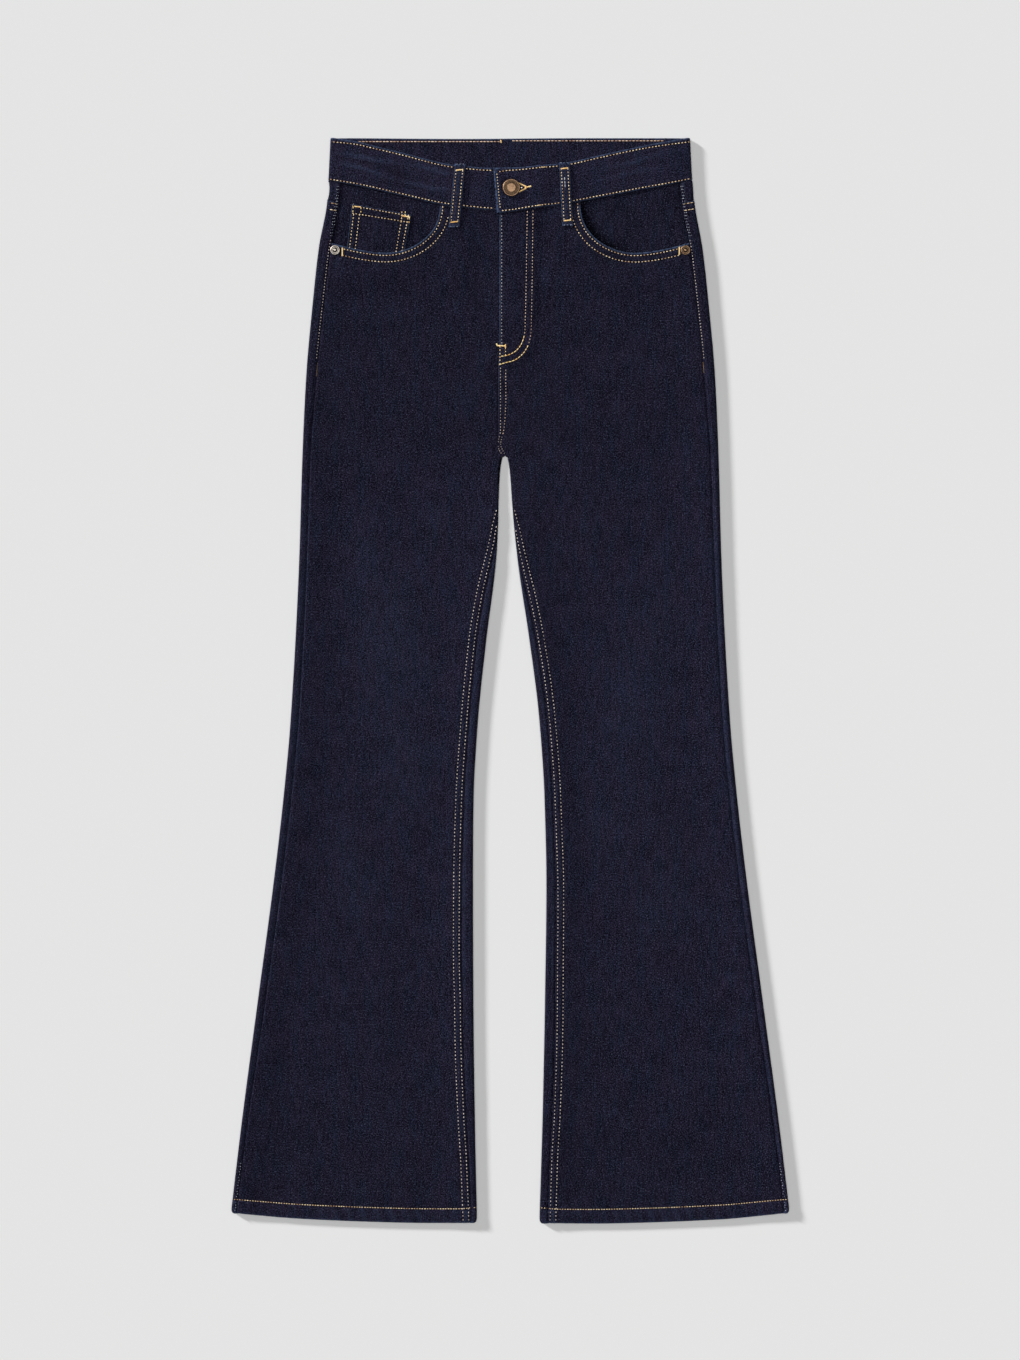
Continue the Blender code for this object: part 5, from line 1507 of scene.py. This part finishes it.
def turned(name, spec, node, finish):      # a stamped round piece, its profile spun
    lathe = bmesh.new()
    layer = lathe.verts.layers.float.new("wearAndShade")
    points = []
    for (radius, height), bright in zip(spec["profile"], spec["bright"]):
        point = lathe.verts.new((radius * mm, 0, height * mm))
        point[layer] = bright
        points.append(point)
    edges = [lathe.edges.new(pair) for pair in zip(points, points[1:])]
    bmesh.ops.spin(lathe, geom=points + edges, cent=(0, 0, 0), axis=(0, 0, 1), angle=2 * math.pi,
                   steps=spec["steps"], use_merge=True)
    bmesh.ops.remove_doubles(lathe, verts=lathe.verts, dist=1e-6)
    bmesh.ops.recalc_face_normals(lathe, faces=lathe.faces)
    for i in range(spec.get("beads", 0)):        # a ring of short raised bars
        turn = Matrix.Rotation(2 * math.pi * i / spec["beads"], 4, "Z")
        out = Matrix.Translation((spec["beadRadius"] * mm, 0, spec["beadHeight"] * mm))
        size = Matrix.Diagonal([s / 2 * mm for s in spec["beadSize"]] + [1])
        bar = bmesh.ops.create_cube(lathe, size=2.0, matrix=turn @ out @ size)
        for vert in bar["verts"]:
            vert[layer] = 0.05
    low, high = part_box(node)
    middle = Vector(((low.x + high.x) / 2, (low.y + high.y) / 2 - spec.get("sag", 0) * mm, low.z))
    bmesh.ops.transform(lathe, matrix=Matrix.Translation(middle), verts=lathe.verts)
    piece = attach(addPiece(name, lathe, [finish], 50), "root")
    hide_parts(node)


turned("shankButton", button, "button", metal["antiqueBrass"])
turned("rivetRight", rivet, "rivet_right", metal["agedNickel"])
turned("rivetLeft", rivet, "rivet_left", metal["antiqueBrass"])


def makeButtonhole():        # a keyhole: two arms of close stitches that meet in a bar tack
    work, cloth, drop = bmesh.new(), ["denimWaistband"], hole["drop"]
    for side in (-1, 1):
        tackRow(work, (hole["start"], drop + side * hole["arms"]), (hole["end"], drop + side * 0.9),
                cloth, kind="hole")
    tackRow(work, (hole["end"] - 0.9, drop), (hole["point"], drop - 1.2), cloth, kind="hole")
    sewn("buttonholeStitches", work, thread["barTack"])
    # the eye is a flat dark disc of painted shade, not a cut hole
    place = touch(cloth, hole["start"] + hole["eyeIn"], drop)[0]
    eye = bmesh.new()
    flat = Matrix.Translation(place + Vector((0, 0, -0.1 * mm))) @ Matrix.Diagonal(
        [size * mm for size in hole["eye"]] + [1])
    bmesh.ops.create_uvsphere(eye, u_segments=20, v_segments=8, radius=1.0, matrix=flat)
    sewn("buttonholeEyeShade", eye, holeShade)
    foot = bmesh.new()
    at = Vector((hole["footX"] * mm, (jeans["length"] / 2 - hole["footDrop"]) * mm, place.z + 0.2 * mm))
    flat = Matrix.Translation(at) @ Matrix.Diagonal((1, 1, 0.3, 1))
    bmesh.ops.create_uvsphere(foot, u_segments=16, v_segments=8, radius=hole["foot"] * mm, matrix=flat)
    bare = foot.verts.layers.float.new("wearAndShade")
    for vert in foot.verts:
        vert[bare] = 1.0
    sewn("shankFoot", foot, metal["agedNickel"])


makeButtonhole()
for unit in (unitStitch, unitHoleShade):
    bpy.data.meshes.remove(unit)
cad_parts["fly_zip"].data.materials.clear()
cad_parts["fly_zip"].data.materials.append(thread["indigo"])
print("button, buttonhole and rivets made")

# Floor, light and camera
studio = {
    "floor": "#e5e5e5", "floorSize": 60.0,     # metres
    "dome": 0.08,
    "above": (1.69, 50.0, 90.0, 0.0),          # a broad light: strength, softness, height and turn
    "key": (4.34, 6.5, 15.7, 147.0),           # a low one from the top left
    "lens": 85.0, "sensor": 36.0, "frameHeight": 1.360, "centre": (-0.0003, 0.0009), "subject": 0.004,
}


def makeFloor():
    ground = bmesh.new()
    bmesh.ops.create_grid(ground, x_segments=1, y_segments=1, size=studio["floorSize"] / 2)
    pale = newFinish("paleFloor", {          # painted board: pale, matt and even
        "Roughness": 0.9, "Base Color": linear(studio["floor"]), "Specular IOR Level": 0.1})[0]
    addPiece("floor", ground, [pale])


def makeLamp(name):
    strength, soft, height, turn = studio[name]
    light = bpy.data.lights.new(name, "SUN")
    light.energy = strength
    light.angle = math.radians(soft)
    lamp = bpy.data.objects.new(name, light)
    up, turn = math.radians(height), math.radians(turn)
    source = Vector((math.cos(turn) * math.cos(up), math.sin(turn) * math.cos(up), math.sin(up)))
    lamp.rotation_euler = source.to_track_quat("Z", "Y").to_euler()
    lamp.location = source * 3
    bpy.context.scene.collection.objects.link(lamp)


def makeWorld():             # a faint dome
    world = bpy.data.worlds.new("studio")
    world.use_nodes = True
    world.node_tree.nodes["Background"].inputs["Color"].default_value = (1, 1, 1, 1)
    world.node_tree.nodes["Background"].inputs["Strength"].default_value = studio["dome"]
    bpy.context.scene.world = world


def makeCamera():
    data = bpy.data.cameras.new("camera")
    data.lens = studio["lens"]
    data.sensor_width = studio["sensor"]
    data.clip_end = 30.0
    camera = bpy.data.objects.new("camera", data)
    away = studio["frameHeight"] * studio["lens"] / studio["sensor"]
    camera.location = (*studio["centre"], away + studio["subject"])
    bpy.context.scene.collection.objects.link(camera)
    bpy.context.scene.camera = camera


makeFloor()
makeWorld()
makeLamp("above")
makeLamp("key")
makeCamera()
bpy.context.scene.view_settings.view_transform = "Standard"
print("floor, light and camera made")
